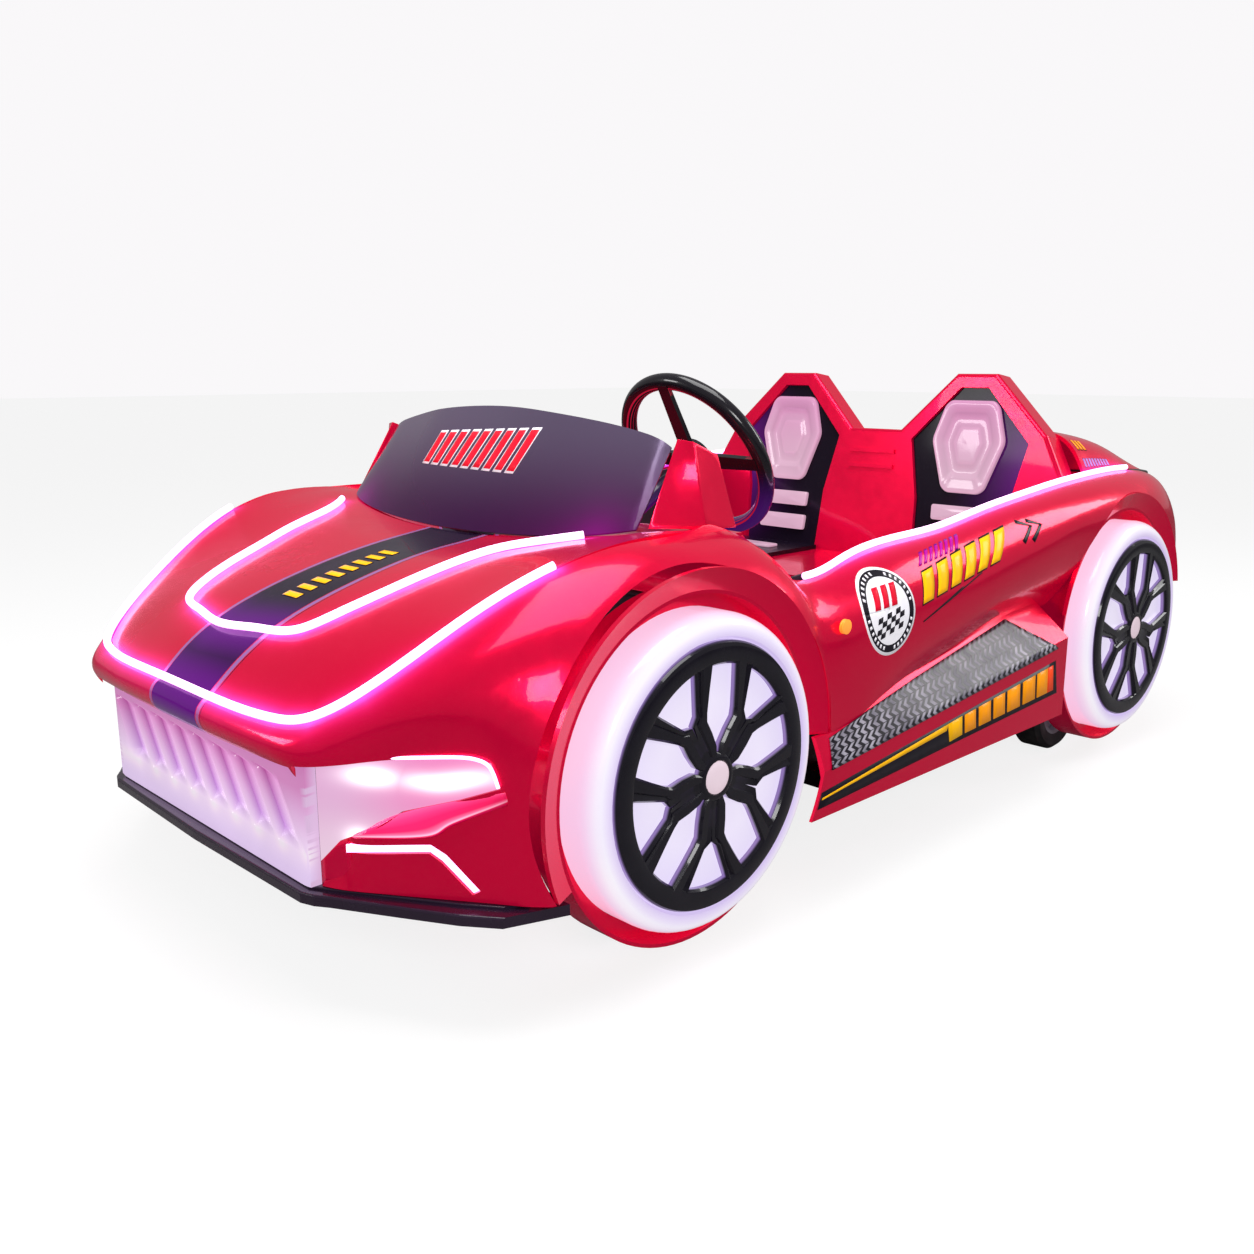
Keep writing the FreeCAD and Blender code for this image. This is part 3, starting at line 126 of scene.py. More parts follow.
class Value:
    """A number that comes from a shader node, reckoned with like a plain one."""

    def __init__(self, socket):
        self.socket = socket

    __add__, __sub__, __mul__, __truediv__ = map(sign, ("ADD", "SUBTRACT", "MULTIPLY", "DIVIDE"))
    __pow__, __gt__, __lt__, __abs__ = map(sign, ("POWER", "GREATER_THAN", "LESS_THAN", "ABSOLUTE"))
    larger, smaller, to_and_fro = map(sign, ("MAXIMUM", "MINIMUM", "PINGPONG"))
    fraction, root = map(sign, ("FRACT", "SQRT"))

    def __rsub__(self, other):
        return reckon("SUBTRACT", other, self)

    def __rtruediv__(self, other):
        return reckon("DIVIDE", other, self)

    def between(self, low, high):
        """1 where the number lies between two limits, otherwise 0."""
        return (self > low) * (self < high)

    def spread(self, low, high, to_low=0.0, to_high=1.0, **settings):
        """Turns one range of numbers into another, held at its ends."""
        return Value(wire(self.socket.id_data, "ShaderNodeMapRange", {
            "Value": self, "From Min": low, "From Max": high, "To Min": to_low,
            "To Max": to_high}, **settings).outputs["Result"])

    def smooth(self, low, high):
        """0 up to the first limit, 1 from the second on, and an easy curve between them."""
        return self.spread(low, high, interpolation_type="SMOOTHSTEP")


def either(first, *others):
    """The largest of some shares."""
    for share in others:
        first = first.larger(share)
    return first


def fade(value):
    """One over one plus a number: 1 where it is 0, and falling away as it grows."""
    return 1.0 / (value + 1.0)


def vector(operation, a, b=None):
    """The vector, or the number, that a Vector Math node works out."""
    inputs = {0: a} if b is None else {0: a, "Scale" if operation == "SCALE" else 1: b}
    made = wire(a.id_data, "ShaderNodeVectorMath", inputs, operation=operation).outputs
    return Value(made[1]) if operation in ("LENGTH", "DOT_PRODUCT", "DISTANCE") else made[0]


def joined(*numbers):
    """Two or three numbers as one vector."""
    return wire(numbers[0].socket.id_data, "ShaderNodeCombineXYZ",
                dict(enumerate(numbers))).outputs[0]


def shaded(colour, share):
    """A colour times a share."""
    return tuple(part * share for part in colour)


class Finish:
    """A material with its object coordinates, its shader and the sockets set on it."""

    def __init__(self, name, **sockets):
        self.material = bpy.data.materials.new(name)
        self.material.use_nodes = True
        self.tree = self.material.node_tree
        self.tree.nodes.clear()
        self.shader = wire(self.tree, "ShaderNodeBsdfPrincipled")
        wire(self.tree, "ShaderNodeOutputMaterial", {"Surface": self.shader.outputs[0]})
        self.place = wire(self.tree, "ShaderNodeTexCoord").outputs["Object"]
        self.xyz = self.parts(self.place)
        self.set(**sockets)

    def set(self, **sockets):
        """Sets the shader's own sockets, named with _ for each space."""
        for name, value in sockets.items():
            connect(self.shader.inputs[name.replace("_", " ")], value)

    def parts(self, where):
        """The three numbers of a vector."""
        split = wire(self.tree, "ShaderNodeSeparateXYZ", {0: where})
        return [Value(part) for part in split.outputs]

    def ink(self, kind="Color"):
        """What comes with each point of the shape."""
        return wire(self.tree, "ShaderNodeAttribute", attribute_name="ink").outputs[kind]

    def noise(self, scale, detail=4.0):
        """A cloudy pattern, with its scale in patches for each metre."""
        return Value(wire(self.tree, "ShaderNodeTexNoise", {
            "Vector": self.place, "Scale": scale, "Detail": detail}).outputs["Fac"])

    def colours(self, share, first, second):
        """The first colour where the share is 0 and the second where it is 1."""
        return wire(self.tree, "ShaderNodeMix", {0: share, 6: first, 7: second},
                    data_type="RGBA").outputs[2]

    def bumps(self, *layers):
        """Heights one on another, each a (height, strength, distance in metres)."""
        normal = None
        for height, strength, distance in layers:
            inputs = {"Height": height, "Strength": strength, "Distance": distance}
            if normal:
                inputs["Normal"] = normal
            normal = wire(self.tree, "ShaderNodeBump", inputs).outputs[0]
        self.set(Normal=normal)

    def grained(self, roughness, swing):
        """Roughness that wanders round a middle value."""
        wander = self.noise(18.0) * self.noise(60.0, 2.0)
        self.set(Roughness=wander.spread(0.1, 0.45, roughness - swing, roughness + swing))


def run_distance():
    """Node group: how far a point is from the straight run between two others."""
    group = bpy.data.node_groups.get("run_distance")
    if group:
        return group
    group = bpy.data.node_groups.new("run_distance", "ShaderNodeTree")
    for name in ("Point", "Start", "End"):
        group.interface.new_socket(name, in_out="INPUT", socket_type="NodeSocketVector")
    group.interface.new_socket("Distance", in_out="OUTPUT", socket_type="NodeSocketFloat")
    point, start, end = group.nodes.new("NodeGroupInput").outputs[:3]
    run, reach = vector("SUBTRACT", end, start), vector("SUBTRACT", point, start)
    share = reckon("DIVIDE", vector("DOT_PRODUCT", reach, run), vector("DOT_PRODUCT", run, run),
                   clamp=True)
    away = vector("DISTANCE", reach, vector("SCALE", run, share))
    connect(group.nodes.new("NodeGroupOutput").inputs[0], away)
    return group


def distance_to_lights(finish, *lines):
    """Distance to the nearest of the lit lines, the right half folded on to the left one."""
    x, y, z = finish.xyz
    folded = joined(abs(x), y, z)
    nearest = None
    for line in lines:
        for start, end in zip(line, line[1:]):
            away = Value(wire(finish.tree, "ShaderNodeGroup", {0: folded, 1: start, 2: end},
                              node_tree=run_distance()).outputs[0])
            nearest = nearest.smaller(away) if nearest else away
    return nearest


# ---------------------------------------------------------------- finishes
def lacquer():
    """Red glass-fibre under clear coat, with its stripes, a painted glow where the lit lines throw
    their light, and a faint painted red glow all over.
    """
    look = bpy.context.scene.ride_car_paint
    made = Finish("red_lacquer", Metallic=0.55, Coat_Weight=0.42, Coat_Roughness=0.03,
                  Coat_IOR=1.33, Specular_IOR_Level=0.05)
    x, y, z = made.xyz
    red = made.colours(made.noise(2.6, 2.0), look.red, shaded(look.red, 0.86))
    fleck = made.noise(1400.0, 1.0).spread(0.62, 0.8)
    colour = made.colours(fleck * 0.25, red, (1.0, 0.16, 0.22))

    # the dark stripe down the bonnet and over the lip, its two pale edges and a hairline
    on_nose = (y < STRIPE_BACK) * (z > STRIPE_FOOT)
    low, high = look.stripe_from, look.stripe_to
    dark = on_nose * x.between(low, high)
    pale = on_nose * either(x.between(low - 0.008, low - 0.001),
                            x.between(high + 0.002, high + 0.010))
    hairline = on_nose * x.between(high + 0.012, high + 0.014)
    colour = made.colours(either(dark, hairline), colour, (0.014, 0.002, 0.026))
    colour = made.colours(pale, colour, (0.34, 0.22, 0.60))

    # painted glow: magenta beside the lit lines and purple by the belt, fading with distance, and
    # purple on the dark stripe
    distance = distance_to_lights(made, NOSE_LINE, BONNET_LINE, BELT_LINE)
    glow = fade((distance / look.glow_reach) ** 2.0)
    glow = glow * glow
    by_belt = made.colours((y > BELT_FRONT) * (z > BELT_FOOT), (0.78, 0.10, 0.90),
                           (0.42, 0.06, 1.0))
    on_red = made.colours(glow, (1.0, 0.0, 0.10), by_belt)
    on_stripe = made.colours(distance.smooth(0.10, 0.01), (0.006, 0.001, 0.012), (0.15, 0.0, 0.26))
    # the emission is painted light: the glow by the lit lines, and a faint painted red glow
    # everywhere off the dark stripe
    made.set(Base_Color=colour, Emission_Color=made.colours(dark, on_red, on_stripe),
             Emission_Strength=dark.spread(0, 1, glow * look.glow + look.painted_red_glow,
                                           distance.smooth(0.12, 0.0) * 0.9))
    made.grained(0.22, 0.05)
    made.bumps((made.noise(5.0, 1.0), 0.05, 0.004), (made.noise(260.0, 2.0), 0.02, 0.0006))
    return made.material


def hub_cap():
    """Milky plastic lit from inside, a little brighter here and there."""
    made = Finish("lit_cap", Roughness=0.28, Coat_Weight=0.4, Coat_Roughness=0.1)
    colour, patches = (0.90, 0.66, 0.74), made.noise(7.0, 2.0)
    made.set(Base_Color=made.colours(patches, (0.42, 0.38, 0.44), (0.52, 0.47, 0.53)),
             Emission_Color=made.colours(patches, shaded(colour, 0.82), colour),
             Emission_Strength=made.noise(3.0, 1.0).spread(0.3, 0.7, 0.528, 0.66))
    made.bumps((made.noise(180.0, 2.0), 0.03, 0.0008))
    return made.material


def moulded(name, colour, roughness=0.5, grain=420.0, depth=0.15, coat=0.0):
    """Moulded or painted plastic with a fine grain and rubbed patches."""
    made = Finish(name, Coat_Weight=coat, Coat_Roughness=0.1, Coat_IOR=1.4, Specular_IOR_Level=0.22)
    lighter = tuple(min(1.0, part * 1.5 + 0.002) for part in colour)
    made.set(Base_Color=made.colours(made.noise(9.0), colour, lighter))
    made.grained(roughness, min(0.1, roughness * 0.5))
    made.bumps((made.noise(grain, 3.0), depth, 0.0006), (made.noise(11.0, 2.0), 0.05, 0.003))
    return made.material


def lit_tube():
    """The lit lines: white at full brightness, throwing a magenta light."""
    look = bpy.context.scene.ride_car_lights
    made = Finish("lit_tube", Base_Color=(0.9, 0.8, 0.9), Roughness=0.35)
    dots = made.noise(45.0, 1.0).spread(0.3, 0.7, 0.9, 1.1)
    made.set(Emission_Color=made.colours(made.noise(6.0, 1.0), look.tube, (1.0, 0.4, 0.95)),
             Emission_Strength=dots * look.tube_power)
    return made.material


def woven_step():
    """Woven look of the steps: grey strokes on black, slanting to and fro from row to row."""
    made = Finish("woven_step", Coat_Weight=0.25, Coat_Roughness=0.12, Coat_IOR=1.4,
                  Specular_IOR_Level=0.2)
    along, across, _ = made.parts(made.ink("Vector"))
    row = across * (1 / STEP_ROW)
    slant = row * 0.20 + row.to_and_fro(1.0) * 0.62
    phase = (along * (1 / STEP_STROKE) + slant).fraction()
    thread = phase.to_and_fro(0.5).smooth(0.20, 0.30) * row.to_and_fro(1.0).smooth(0.04, 0.12)
    grey = made.colours(made.noise(26.0, 3.0).spread(0.35, 0.65), (0.12, 0.11, 0.15),
                        (0.44, 0.42, 0.50))
    made.set(Base_Color=made.colours(thread, (0.010, 0.008, 0.014), grey),
             Roughness=thread.spread(0, 1, 0.3, 0.5))
    made.bumps((thread, 0.5, 0.0012), (made.noise(700.0, 2.0), 0.1, 0.0004))
    return made.material


def rubber():
    """Solid rubber with a dusty, worn tread."""
    made = Finish("solid_rubber", Specular_IOR_Level=0.4)
    dust = made.noise(28.0, 6.0).spread(0.45, 0.8)
    made.set(Base_Color=made.colours(dust, (0.012, 0.012, 0.013), (0.07, 0.065, 0.06)),
             Roughness=dust.spread(0, 1, 0.55, 0.85))
    made.bumps((made.noise(320.0, 3.0), 0.25, 0.0008))
    return made.material


def metal(name, colour, roughness):
    """Plated or painted metal with fine pitting and a wandering shine."""
    made = Finish(name, Metallic=1.0)
    made.set(Base_Color=made.colours(made.noise(14.0), colour, shaded(colour, 0.6)))
    made.grained(roughness, roughness * 0.4)
    made.bumps((made.noise(240.0, 3.0), 0.12, 0.0006))
    return made.material


def lens_plastic():
    """Amber side lenses and red tail lenses, told apart by where they are."""
    made = Finish("marker_lens", Roughness=0.15, Coat_Weight=0.8)
    x, y, z = made.xyz
    reach = vector("LENGTH", joined(abs(x) - TAIL_LAMP[0], z - TAIL_LAMP[1]))
    rings = (reach * LENS_RINGS).to_and_fro(0.5)
    colour = made.colours(y > 0.5, (0.95, 0.30, 0.03), (0.55, 0.01, 0.02))
    made.set(Base_Color=colour, Emission_Color=colour,
             Emission_Strength=rings.spread(0, 0.5, 0.5, 1.0))
    made.bumps((rings, 0.3, 0.001))
    return made.material


def inked_milk(name, glow, body):
    """Milky lit plastic whose colour comes with the shape: mostly light from within."""
    made = Finish(name, Roughness=0.3, Coat_Weight=0.5, Coat_Roughness=0.08, Specular_IOR_Level=0.3)
    patches = made.noise(9.0, 2.0).spread(0.3, 0.7, 0.95, 1.05)
    made.set(Base_Color=made.colours(made.noise(14.0, 2.0), (body,) * 3,
                                     (body * 1.25, body, body * 1.2)),
             Emission_Color=made.ink(), Emission_Strength=patches * glow)
    made.bumps((made.noise(160.0, 2.0), 0.03, 0.0008))
    return made.material


def lit_wheel():
    """Milky lit discs: white behind the spokes, lilac by their rim with a darker band of painted
    shade just outside it, pinker round the shoulder.
    """
    made = Finish("lit_wheel", Roughness=0.3, Coat_Weight=0.5, Coat_Roughness=0.1,
                  Specular_IOR_Level=0.3, Emission_Strength=0.86)
    _, y, z = made.xyz
    hub = (y > (FRONT_HUB + REAR_HUB) / 2).spread(0, 1, FRONT_HUB, REAR_HUB)
    radius = vector("LENGTH", joined(y - hub, z - HUB_HEIGHT))
    ramp = wire(made.tree, "ShaderNodeValToRGB", {"Fac": radius * 4.0})
    # the darker lilac just outside the spokes' rim, at 0.735, is painted shade
    stops = ((0.0, (0.80, 0.72, 0.92)), (0.40, (0.86, 0.80, 0.97)), (0.70, (0.74, 0.66, 0.92)),
             (0.735, (0.62, 0.50, 0.82)), (0.775, (0.82, 0.74, 0.93)), (0.80, (0.93, 0.90, 0.97)),
             (0.825, (0.95, 0.86, 0.95)), (0.858, (0.95, 0.62, 0.86)))
    for place, _ in stops[2:]:
        ramp.color_ramp.elements.new(place)
    for element, (place, colour) in zip(ramp.color_ramp.elements, stops):
        element.position = place
        element.color = (*colour, 1)
    cloud = made.noise(5.0, 3.0).spread(0.35, 0.7)
    made.set(Base_Color=made.colours(made.noise(7.0, 2.0), (0.22, 0.20, 0.23), (0.28, 0.25, 0.30)),
             Emission_Color=made.colours(cloud * 0.35, ramp.outputs[0], (0.70, 0.62, 0.94)))
    made.bumps((made.noise(150.0, 2.0), 0.03, 0.0008), (made.noise(4.0, 2.0), 0.06, 0.004))
    return made.material


def spot(along, up, middle, size):
    """A soft bright patch: one over one plus the fourth power of the distance in its own sizes."""
    a, b = (along - middle[0]) / size[0], (up - middle[1]) / size[1]
    square = a * a + b * b
    return fade(square * square)


def headlamp():
    """Milky headlamp: lilac at the nose, pink towards the wheel, and its bulbs' white patches."""
    made = Finish("lit_lamp", Roughness=0.22, Coat_Weight=0.8, Coat_Roughness=0.05,
                  Specular_IOR_Level=0.3)
    x, y, z = made.xyz
    along = (abs(x) - LAMP_START[0]) * LAMP_WAY[0] + (y - LAMP_START[1]) * LAMP_WAY[1]
    colour = made.colours(along.smooth(0.02, 0.17), (0.84, 0.46, 0.74), (1.0, 0.24, 0.58))
    colour = made.colours(z.smooth(0.300, 0.200) * 0.8, colour, (0.93, 0.72, 0.86))
    rise = z - along.smooth(0.15, 0.24) * 0.012
    hot = either(spot(along, rise, (0.080, 0.3135), (0.036, 0.0135)),
                 spot(along, rise, (0.176, 0.311), (0.060, 0.0125)),
                 spot(along, z, (0.060, 0.235), (0.016, 0.012)))
    made.set(Base_Color=made.colours(made.noise(12.0, 2.0), (0.10, 0.06, 0.09), (0.13, 0.09, 0.12)),
             Emission_Color=made.colours(hot, colour, (1.0, 0.97, 1.0)),
             Emission_Strength=hot.spread(0, 1, 0.82, 1.5))
    made.bumps((made.noise(220.0, 2.0), 0.02, 0.0006))
    return made.material


def spoke_gloss():
    """Piano-black spoke covers, with painted lilac light low down their sides, where the lit disc
    shines on them.
    """
    made = Finish("spoke_gloss", Coat_Weight=0.8, Coat_Roughness=0.06, Coat_IOR=1.38,
                  Specular_IOR_Level=0.1)
    depth = SPOKE_FACE - abs(made.xyz[0])
    made.set(Base_Color=made.colours(made.noise(30.0), (0.005, 0.004, 0.008),
                                     (0.012, 0.010, 0.018)),
             Emission_Color=made.colours(made.noise(9.0, 1.0), (0.20, 0.13, 0.42),
                                         (0.32, 0.20, 0.46)),
             Emission_Strength=depth.smooth(0.0036, 0.0085))
    made.grained(0.24, 0.06)
    made.bumps((made.noise(300.0, 2.0), 0.03, 0.0005))
    return made.material


def printed_vinyl():
    """Printed vinyl: its inks come with the shape, a little patchy, under a satin film, and glow
    faintly as painted light that brightens the print.
    """
    made = Finish("printed_vinyl", Coat_Weight=0.25, Coat_Roughness=0.12, Coat_IOR=1.35,
                  Specular_IOR_Level=0.06, Emission_Strength=0.34)
    worn = vector("SCALE", made.ink(), made.noise(30.0, 5.0).spread(0.3, 0.75, 1.0, 0.86))
    made.set(Base_Color=worn, Emission_Color=worn)
    made.grained(0.35, 0.08)
    made.bumps((made.noise(900.0, 1.0), 0.04, 0.0003))
    return made.material


def tinted_screen():
    """Dark tinted acrylic whose colour is painted light: grey lilac at its top, purple towards the
    lit lines at its foot, with a painted purple glow there.
    """
    made = Finish("tinted_screen", Metallic=0.45, Coat_Weight=0.5, Coat_Roughness=0.02,
                  Coat_IOR=1.33, Specular_IOR_Level=0.05, Emission_Color=(0.55, 0.0, 0.42))
    x, _, z = made.xyz
    # painted light: the top paler on the far side
    top = made.colours(x.smooth(-0.36, 0.20), (0.19, 0.15, 0.23), (0.13, 0.10, 0.17))
    # painted purple glow near the bonnet's lit line
    near = distance_to_lights(made, BONNET_LINE[3:]) / 0.055
    glow = fade(near * near)
    made.set(Base_Color=made.colours(z.smooth(0.545, 0.720), (0.058, 0.008, 0.066), top),
             Emission_Strength=glow * glow * 0.55,
             Roughness=made.noise(30.0).spread(0.3, 0.7, 0.10, 0.20))
    made.bumps((made.noise(2.0, 1.0), 0.04, 0.01))
    return made.material


def insert_black():
    """Glossy black seat inserts, with painted purple light where the belt's lit line shines on
    them.
    """
    made = Finish("gloss_black", Coat_Weight=0.25, Coat_Roughness=0.08, Coat_IOR=1.35,
                  Specular_IOR_Level=0.03, Emission_Color=(0.20, 0.006, 0.30))
    lit = distance_to_lights(made, BELT_LINE).smooth(0.34, 0.02)
    made.set(Base_Color=made.colours(made.noise(9.0), (0.006, 0.003, 0.009), (0.010, 0.006, 0.014)),
             Emission_Strength=lit * lit * 0.8)
    made.grained(0.25, 0.06)
    made.bumps((made.noise(300.0, 3.0), 0.03, 0.0005), (made.noise(11.0, 2.0), 0.05, 0.002))
    return made.material


def wheel_grip():
    """Glossy black steering wheel, with painted reflections in its rim: thin lines of the body's
    red, and the lit lines' purple low down.
    """
    made = Finish("grip_black", Coat_Weight=0.7, Coat_Roughness=0.06, Coat_IOR=1.42,
                  Specular_IOR_Level=0.15)
    reach = vector("SUBTRACT", made.place, WHEEL_MIDDLE)
    height, length = vector("DOT_PRODUCT", reach, WHEEL_AXIS), vector("LENGTH", reach)
    radius = (length * length - height * height).root()
    # painted reflections of the red body, as thin bands round the rim's front
    lines = either(height.between(-0.0124, -0.0112), height.between(-0.0092, -0.0082),
                   height.between(-0.0052, -0.0046))
    painted_red_reflections = radius.between(0.118, 0.1372) * lines
    # painted purple sheen low down
    low = made.xyz[2].smooth(0.640, 0.560)
    made.set(Base_Color=made.colours(made.noise(14.0), (0.006, 0.005, 0.008),
                                     (0.012, 0.010, 0.015)),
             Emission_Color=made.colours(painted_red_reflections, (0.10, 0.008, 0.22), (0.60, 0.006, 0.04)),
             Emission_Strength=either(low * 0.45, painted_red_reflections * 0.7))
    made.grained(0.24, 0.06)
    made.bumps((made.noise(420.0, 2.0), 0.03, 0.0004))
    return made.material


def lit_lacquer():
    """Red lacquer close under a lamp: the lamp's pink light, a highlight and shade are painted, and
    come with the shape.
    """
    made = Finish("lit_lacquer", Metallic=0.4, Coat_Weight=0.5, Coat_Roughness=0.04, Coat_IOR=1.33,
                  Specular_IOR_Level=0.05)
    made.set(Base_Color=made.colours(made.noise(2.6, 2.0), (0.80, 0.002, 0.045),
                                     (0.66, 0.002, 0.04)),
             Emission_Color=made.ink(),
             Emission_Strength=made.noise(8.0, 2.0).spread(0.3, 0.7, 0.9, 1.1))
    made.grained(0.22, 0.05)
    made.bumps((made.noise(260.0, 2.0), 0.02, 0.0006))
    return made.material


def make_finishes():
    """Makes every finish of the car; the pieces find them by their names."""
    for make in (lacquer, tinted_screen, lit_tube, woven_step, rubber, lens_plastic, insert_black,
                 wheel_grip, lit_lacquer, lit_wheel, headlamp, hub_cap, spoke_gloss, printed_vinyl):
        make()
    for name, colour in (("tub_moulding", (0.018, 0.016, 0.022)), ("rim_nylon", (0.16, 0.16, 0.17)),
                         ("case_plastic", (0.05, 0.05, 0.055))):
        moulded(name, colour)
    moulded("lip_black", (0.016, 0.006, 0.020), 0.26, 240.0, 0.05, 0.8)
    inked_milk("lit_grille", 0.80, 0.10)
    inked_milk("lit_pad", 0.66, 0.12)
    metal("black_frame", (0.03, 0.03, 0.032), 0.4)
    metal("zinc_plate", (0.5, 0.5, 0.52), 0.35)
    metal("cast_case", (0.16, 0.16, 0.17), 0.5)


# the finish of each part that shows as it came from the frame
FINISH_OF = {
    "red_lacquer": ["front_body", "rear_body", "left_side_body", "right_side_body", "screen_cowl",
                    "seat_shell", "front_wheel_pods", "rear_wheel_pods"],
    "tub_moulding": ["cockpit_tub"],
    "gloss_black": ["seat_inserts"],
    "lip_black": ["front_splitter"],
    "lit_wheel": ["wheel_discs"],
    "lit_lamp": ["headlights"],
    "tinted_screen": ["windscreen"],
    "lit_tube": ["light_strips"],
    "marker_lens": ["marker_lights"],
    "black_frame": ["chassis_frame", "front_axle", "rear_axle"],
    "zinc_plate": ["knuckle_left", "knuckle_right", "tie_rod", "steering_post"],
    "cast_case": ["steering_box", "drive_motor"],
    "case_plastic": ["battery_pack"],
    "grip_black": ["steering_wheel"],
    "solid_rubber": ["tyre_front_left", "tyre_front_right", "tyre_rear_left", "tyre_rear_right"],
    "rim_nylon": ["rim_front_left", "rim_front_right", "rim_rear_left", "rim_rear_right"],
}


# ---------------------------------------------------------------- shape helpers
class Shell:
    """Grids of points gathered into one mesh, with the ink of each point."""

    def __init__(self):
        self.points, self.faces, self.inks, self.count = [], [], [], 0

    def add(self, grid, wrap_rows=False, wrap_columns=False, ink=(1, 1, 1)):
        """Adds a grid (rows x columns x 3) as quads; a wrapped way also joins its last line to its
        first."""
        grid = np.asarray(grid, float)
        index = np.arange(grid.shape[0] * grid.shape[1]).reshape(grid.shape[:2]) + self.count
        if wrap_rows:
            index = np.vstack([index, index[:1]])
        if wrap_columns:
            index = np.hstack([index, index[:, :1]])
        quads = np.stack([index[:-1, :-1], index[1:, :-1], index[1:, 1:], index[:-1, 1:]], axis=-1)
        ink = np.broadcast_to(np.asarray(ink, float), grid.shape)
        self.points.append(grid.reshape(-1, 3))
        self.faces.append(quads.reshape(-1, 4))
        self.inks.append(np.insert(ink, 3, 1.0, axis=-1).reshape(-1, 4))
        self.count += len(self.points[-1])

    def add_closed(self, sections, ink=(1, 1, 1)):
        """Adds a run of closed outlines, each end drawn together to a point at its middle."""
        sections = np.asarray(sections, float)
        first, last = (np.repeat(sections[end].mean(axis=0)[None], sections.shape[1], axis=0)
                       for end in (0, -1))
        ink = np.broadcast_to(np.asarray(ink, float), sections.shape)
        self.add(np.concatenate([first[None], sections, last[None]]), wrap_columns=True,
                 ink=np.concatenate([ink[:1], ink, ink[-1:]]))

    def piece(self, name, finish, slot, smooth_angle, closed=True):
        """The mesh as an object, its doubles merged and its faces turned outwards."""
        mesh = bpy.data.meshes.new(name)
        mesh.from_pydata(np.concatenate(self.points).tolist(), [],
                         np.concatenate(self.faces).tolist())
        ink = mesh.color_attributes.new("ink", "FLOAT_COLOR", "POINT")
        ink.data.foreach_set("color", np.concatenate(self.inks).ravel())
        if closed:
            work = bmesh.new()
            work.from_mesh(mesh)
            bmesh.ops.remove_doubles(work, verts=work.verts, dist=1e-6)
            bmesh.ops.dissolve_degenerate(work, edges=work.edges, dist=1e-7)
            bmesh.ops.recalc_face_normals(work, faces=work.faces)
            work.to_mesh(mesh)
            work.free()
        mesh.shade_smooth()
        mesh.set_sharp_from_angle(angle=np.radians(smooth_angle))
        made = bpy.data.objects.new(name, mesh)
        bpy.context.scene.collection.objects.link(made)
        mesh.materials.append(bpy.data.materials[finish])
        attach(made, "root")
        return made


def laid_on(piece, target, way, lift):
    """Moves each point of a sheet along one way on to a part's surface, and lifts it a little."""
    wrap = piece.modifiers.new("laid_on", "SHRINKWRAP")
    wrap.target = NODES[target]
    wrap.wrap_method = "PROJECT"
    wrap.use_project_x, wrap.use_project_y, wrap.use_project_z = (axis == way for axis in "xyz")
    wrap.use_negative_direction = wrap.use_positive_direction = True
    wrap.offset = lift
    seen = piece.evaluated_get(bpy.context.evaluated_depsgraph_get())
    mesh = bpy.data.meshes.new_from_object(seen)
    piece.modifiers.clear()
    piece.data = mesh


def thickened(piece, depth):
    """Gives a sheet its thickness, behind its face."""
    solid = piece.modifiers.new("thickness", "SOLIDIFY")
    solid.thickness = depth
    solid.offset = -1
    return piece


def patch(corners, rows=1, columns=1):
    """The surface between four corners given in turn: a blend along two edges, then across."""
    a, b, c, d = (np.asarray(corner, float) for corner in corners)
    u = np.linspace(0, 1, columns + 1)[None, :, None]
    v = np.linspace(0, 1, rows + 1)[:, None, None]
    return (a * (1 - u) + b * u) * (1 - v) + (d * (1 - u) + c * u) * v


def carried(path, radius, sides, flat=1.0):
    """A tube: a circle, or an oval flatter upright, set square to the path at each point."""
    path = np.asarray(path, float)
    way = np.gradient(path, axis=0)
    way /= np.linalg.norm(way, axis=1)[:, None]
    across = np.cross(way, (0, 0, 1.0))
    across /= np.linalg.norm(across, axis=1)[:, None]
    up = np.cross(across, way)
    angle = np.linspace(0, 2 * np.pi, sides, endpoint=False)[None, :, None]
    return path[:, None] + radius * (np.cos(angle) * across[:, None]
                                     + flat * np.sin(angle) * up[:, None])


def smooth_path(points, steps=8):
    """One Catmull-Rom curve through the points: each stretch a cubic, led by its neighbours."""
    p = np.asarray(points, float)
    p = np.vstack([2 * p[0] - p[1], p, 2 * p[-1] - p[-2]])
    t = np.linspace(0, 1, steps, endpoint=False)[None, :, None]
    a, b, c, d = (p[i:len(p) - 3 + i, None] for i in range(4))
    run = 0.5 * (2 * b + (c - a) * t + (2 * a - 5 * b + 4 * c - d) * t ** 2
                 + (3 * b - a - 3 * c + d) * t ** 3)
    return np.vstack([run.reshape(-1, p.shape[1]), p[-2]])


def rounded_loop(corners, radius, steps):
    """A polygon whose corners are parabolas from side to side, pulled towards the corner."""
    p = np.asarray(corners, float)
    before, after = np.roll(p, 1, axis=0) - p, np.roll(p, -1, axis=0) - p
    one, other = (np.linalg.norm(side, axis=1) for side in (before, after))
    reach = np.minimum(radius, 0.45 * np.minimum(one, other))[:, None]
    start = p + before / one[:, None] * reach
    end = p + after / other[:, None] * reach
    t = np.linspace(0, 1, steps)[None, :, None]
    curve = (1 - t) ** 2 * start[:, None] + 2 * t * (1 - t) * p[:, None] + t ** 2 * end[:, None]
    return curve.reshape(-1, 2)


def mixed(share, first, second):
    """Two colours mixed point by point."""
    return np.asarray(first) * (1 - share[..., None]) + np.asarray(second) * share[..., None]


def rising(value, start, end):
    """0 up to the start, 1 from the end on, and straight between them."""
    return np.clip((value - start) / (end - start), 0, 1)


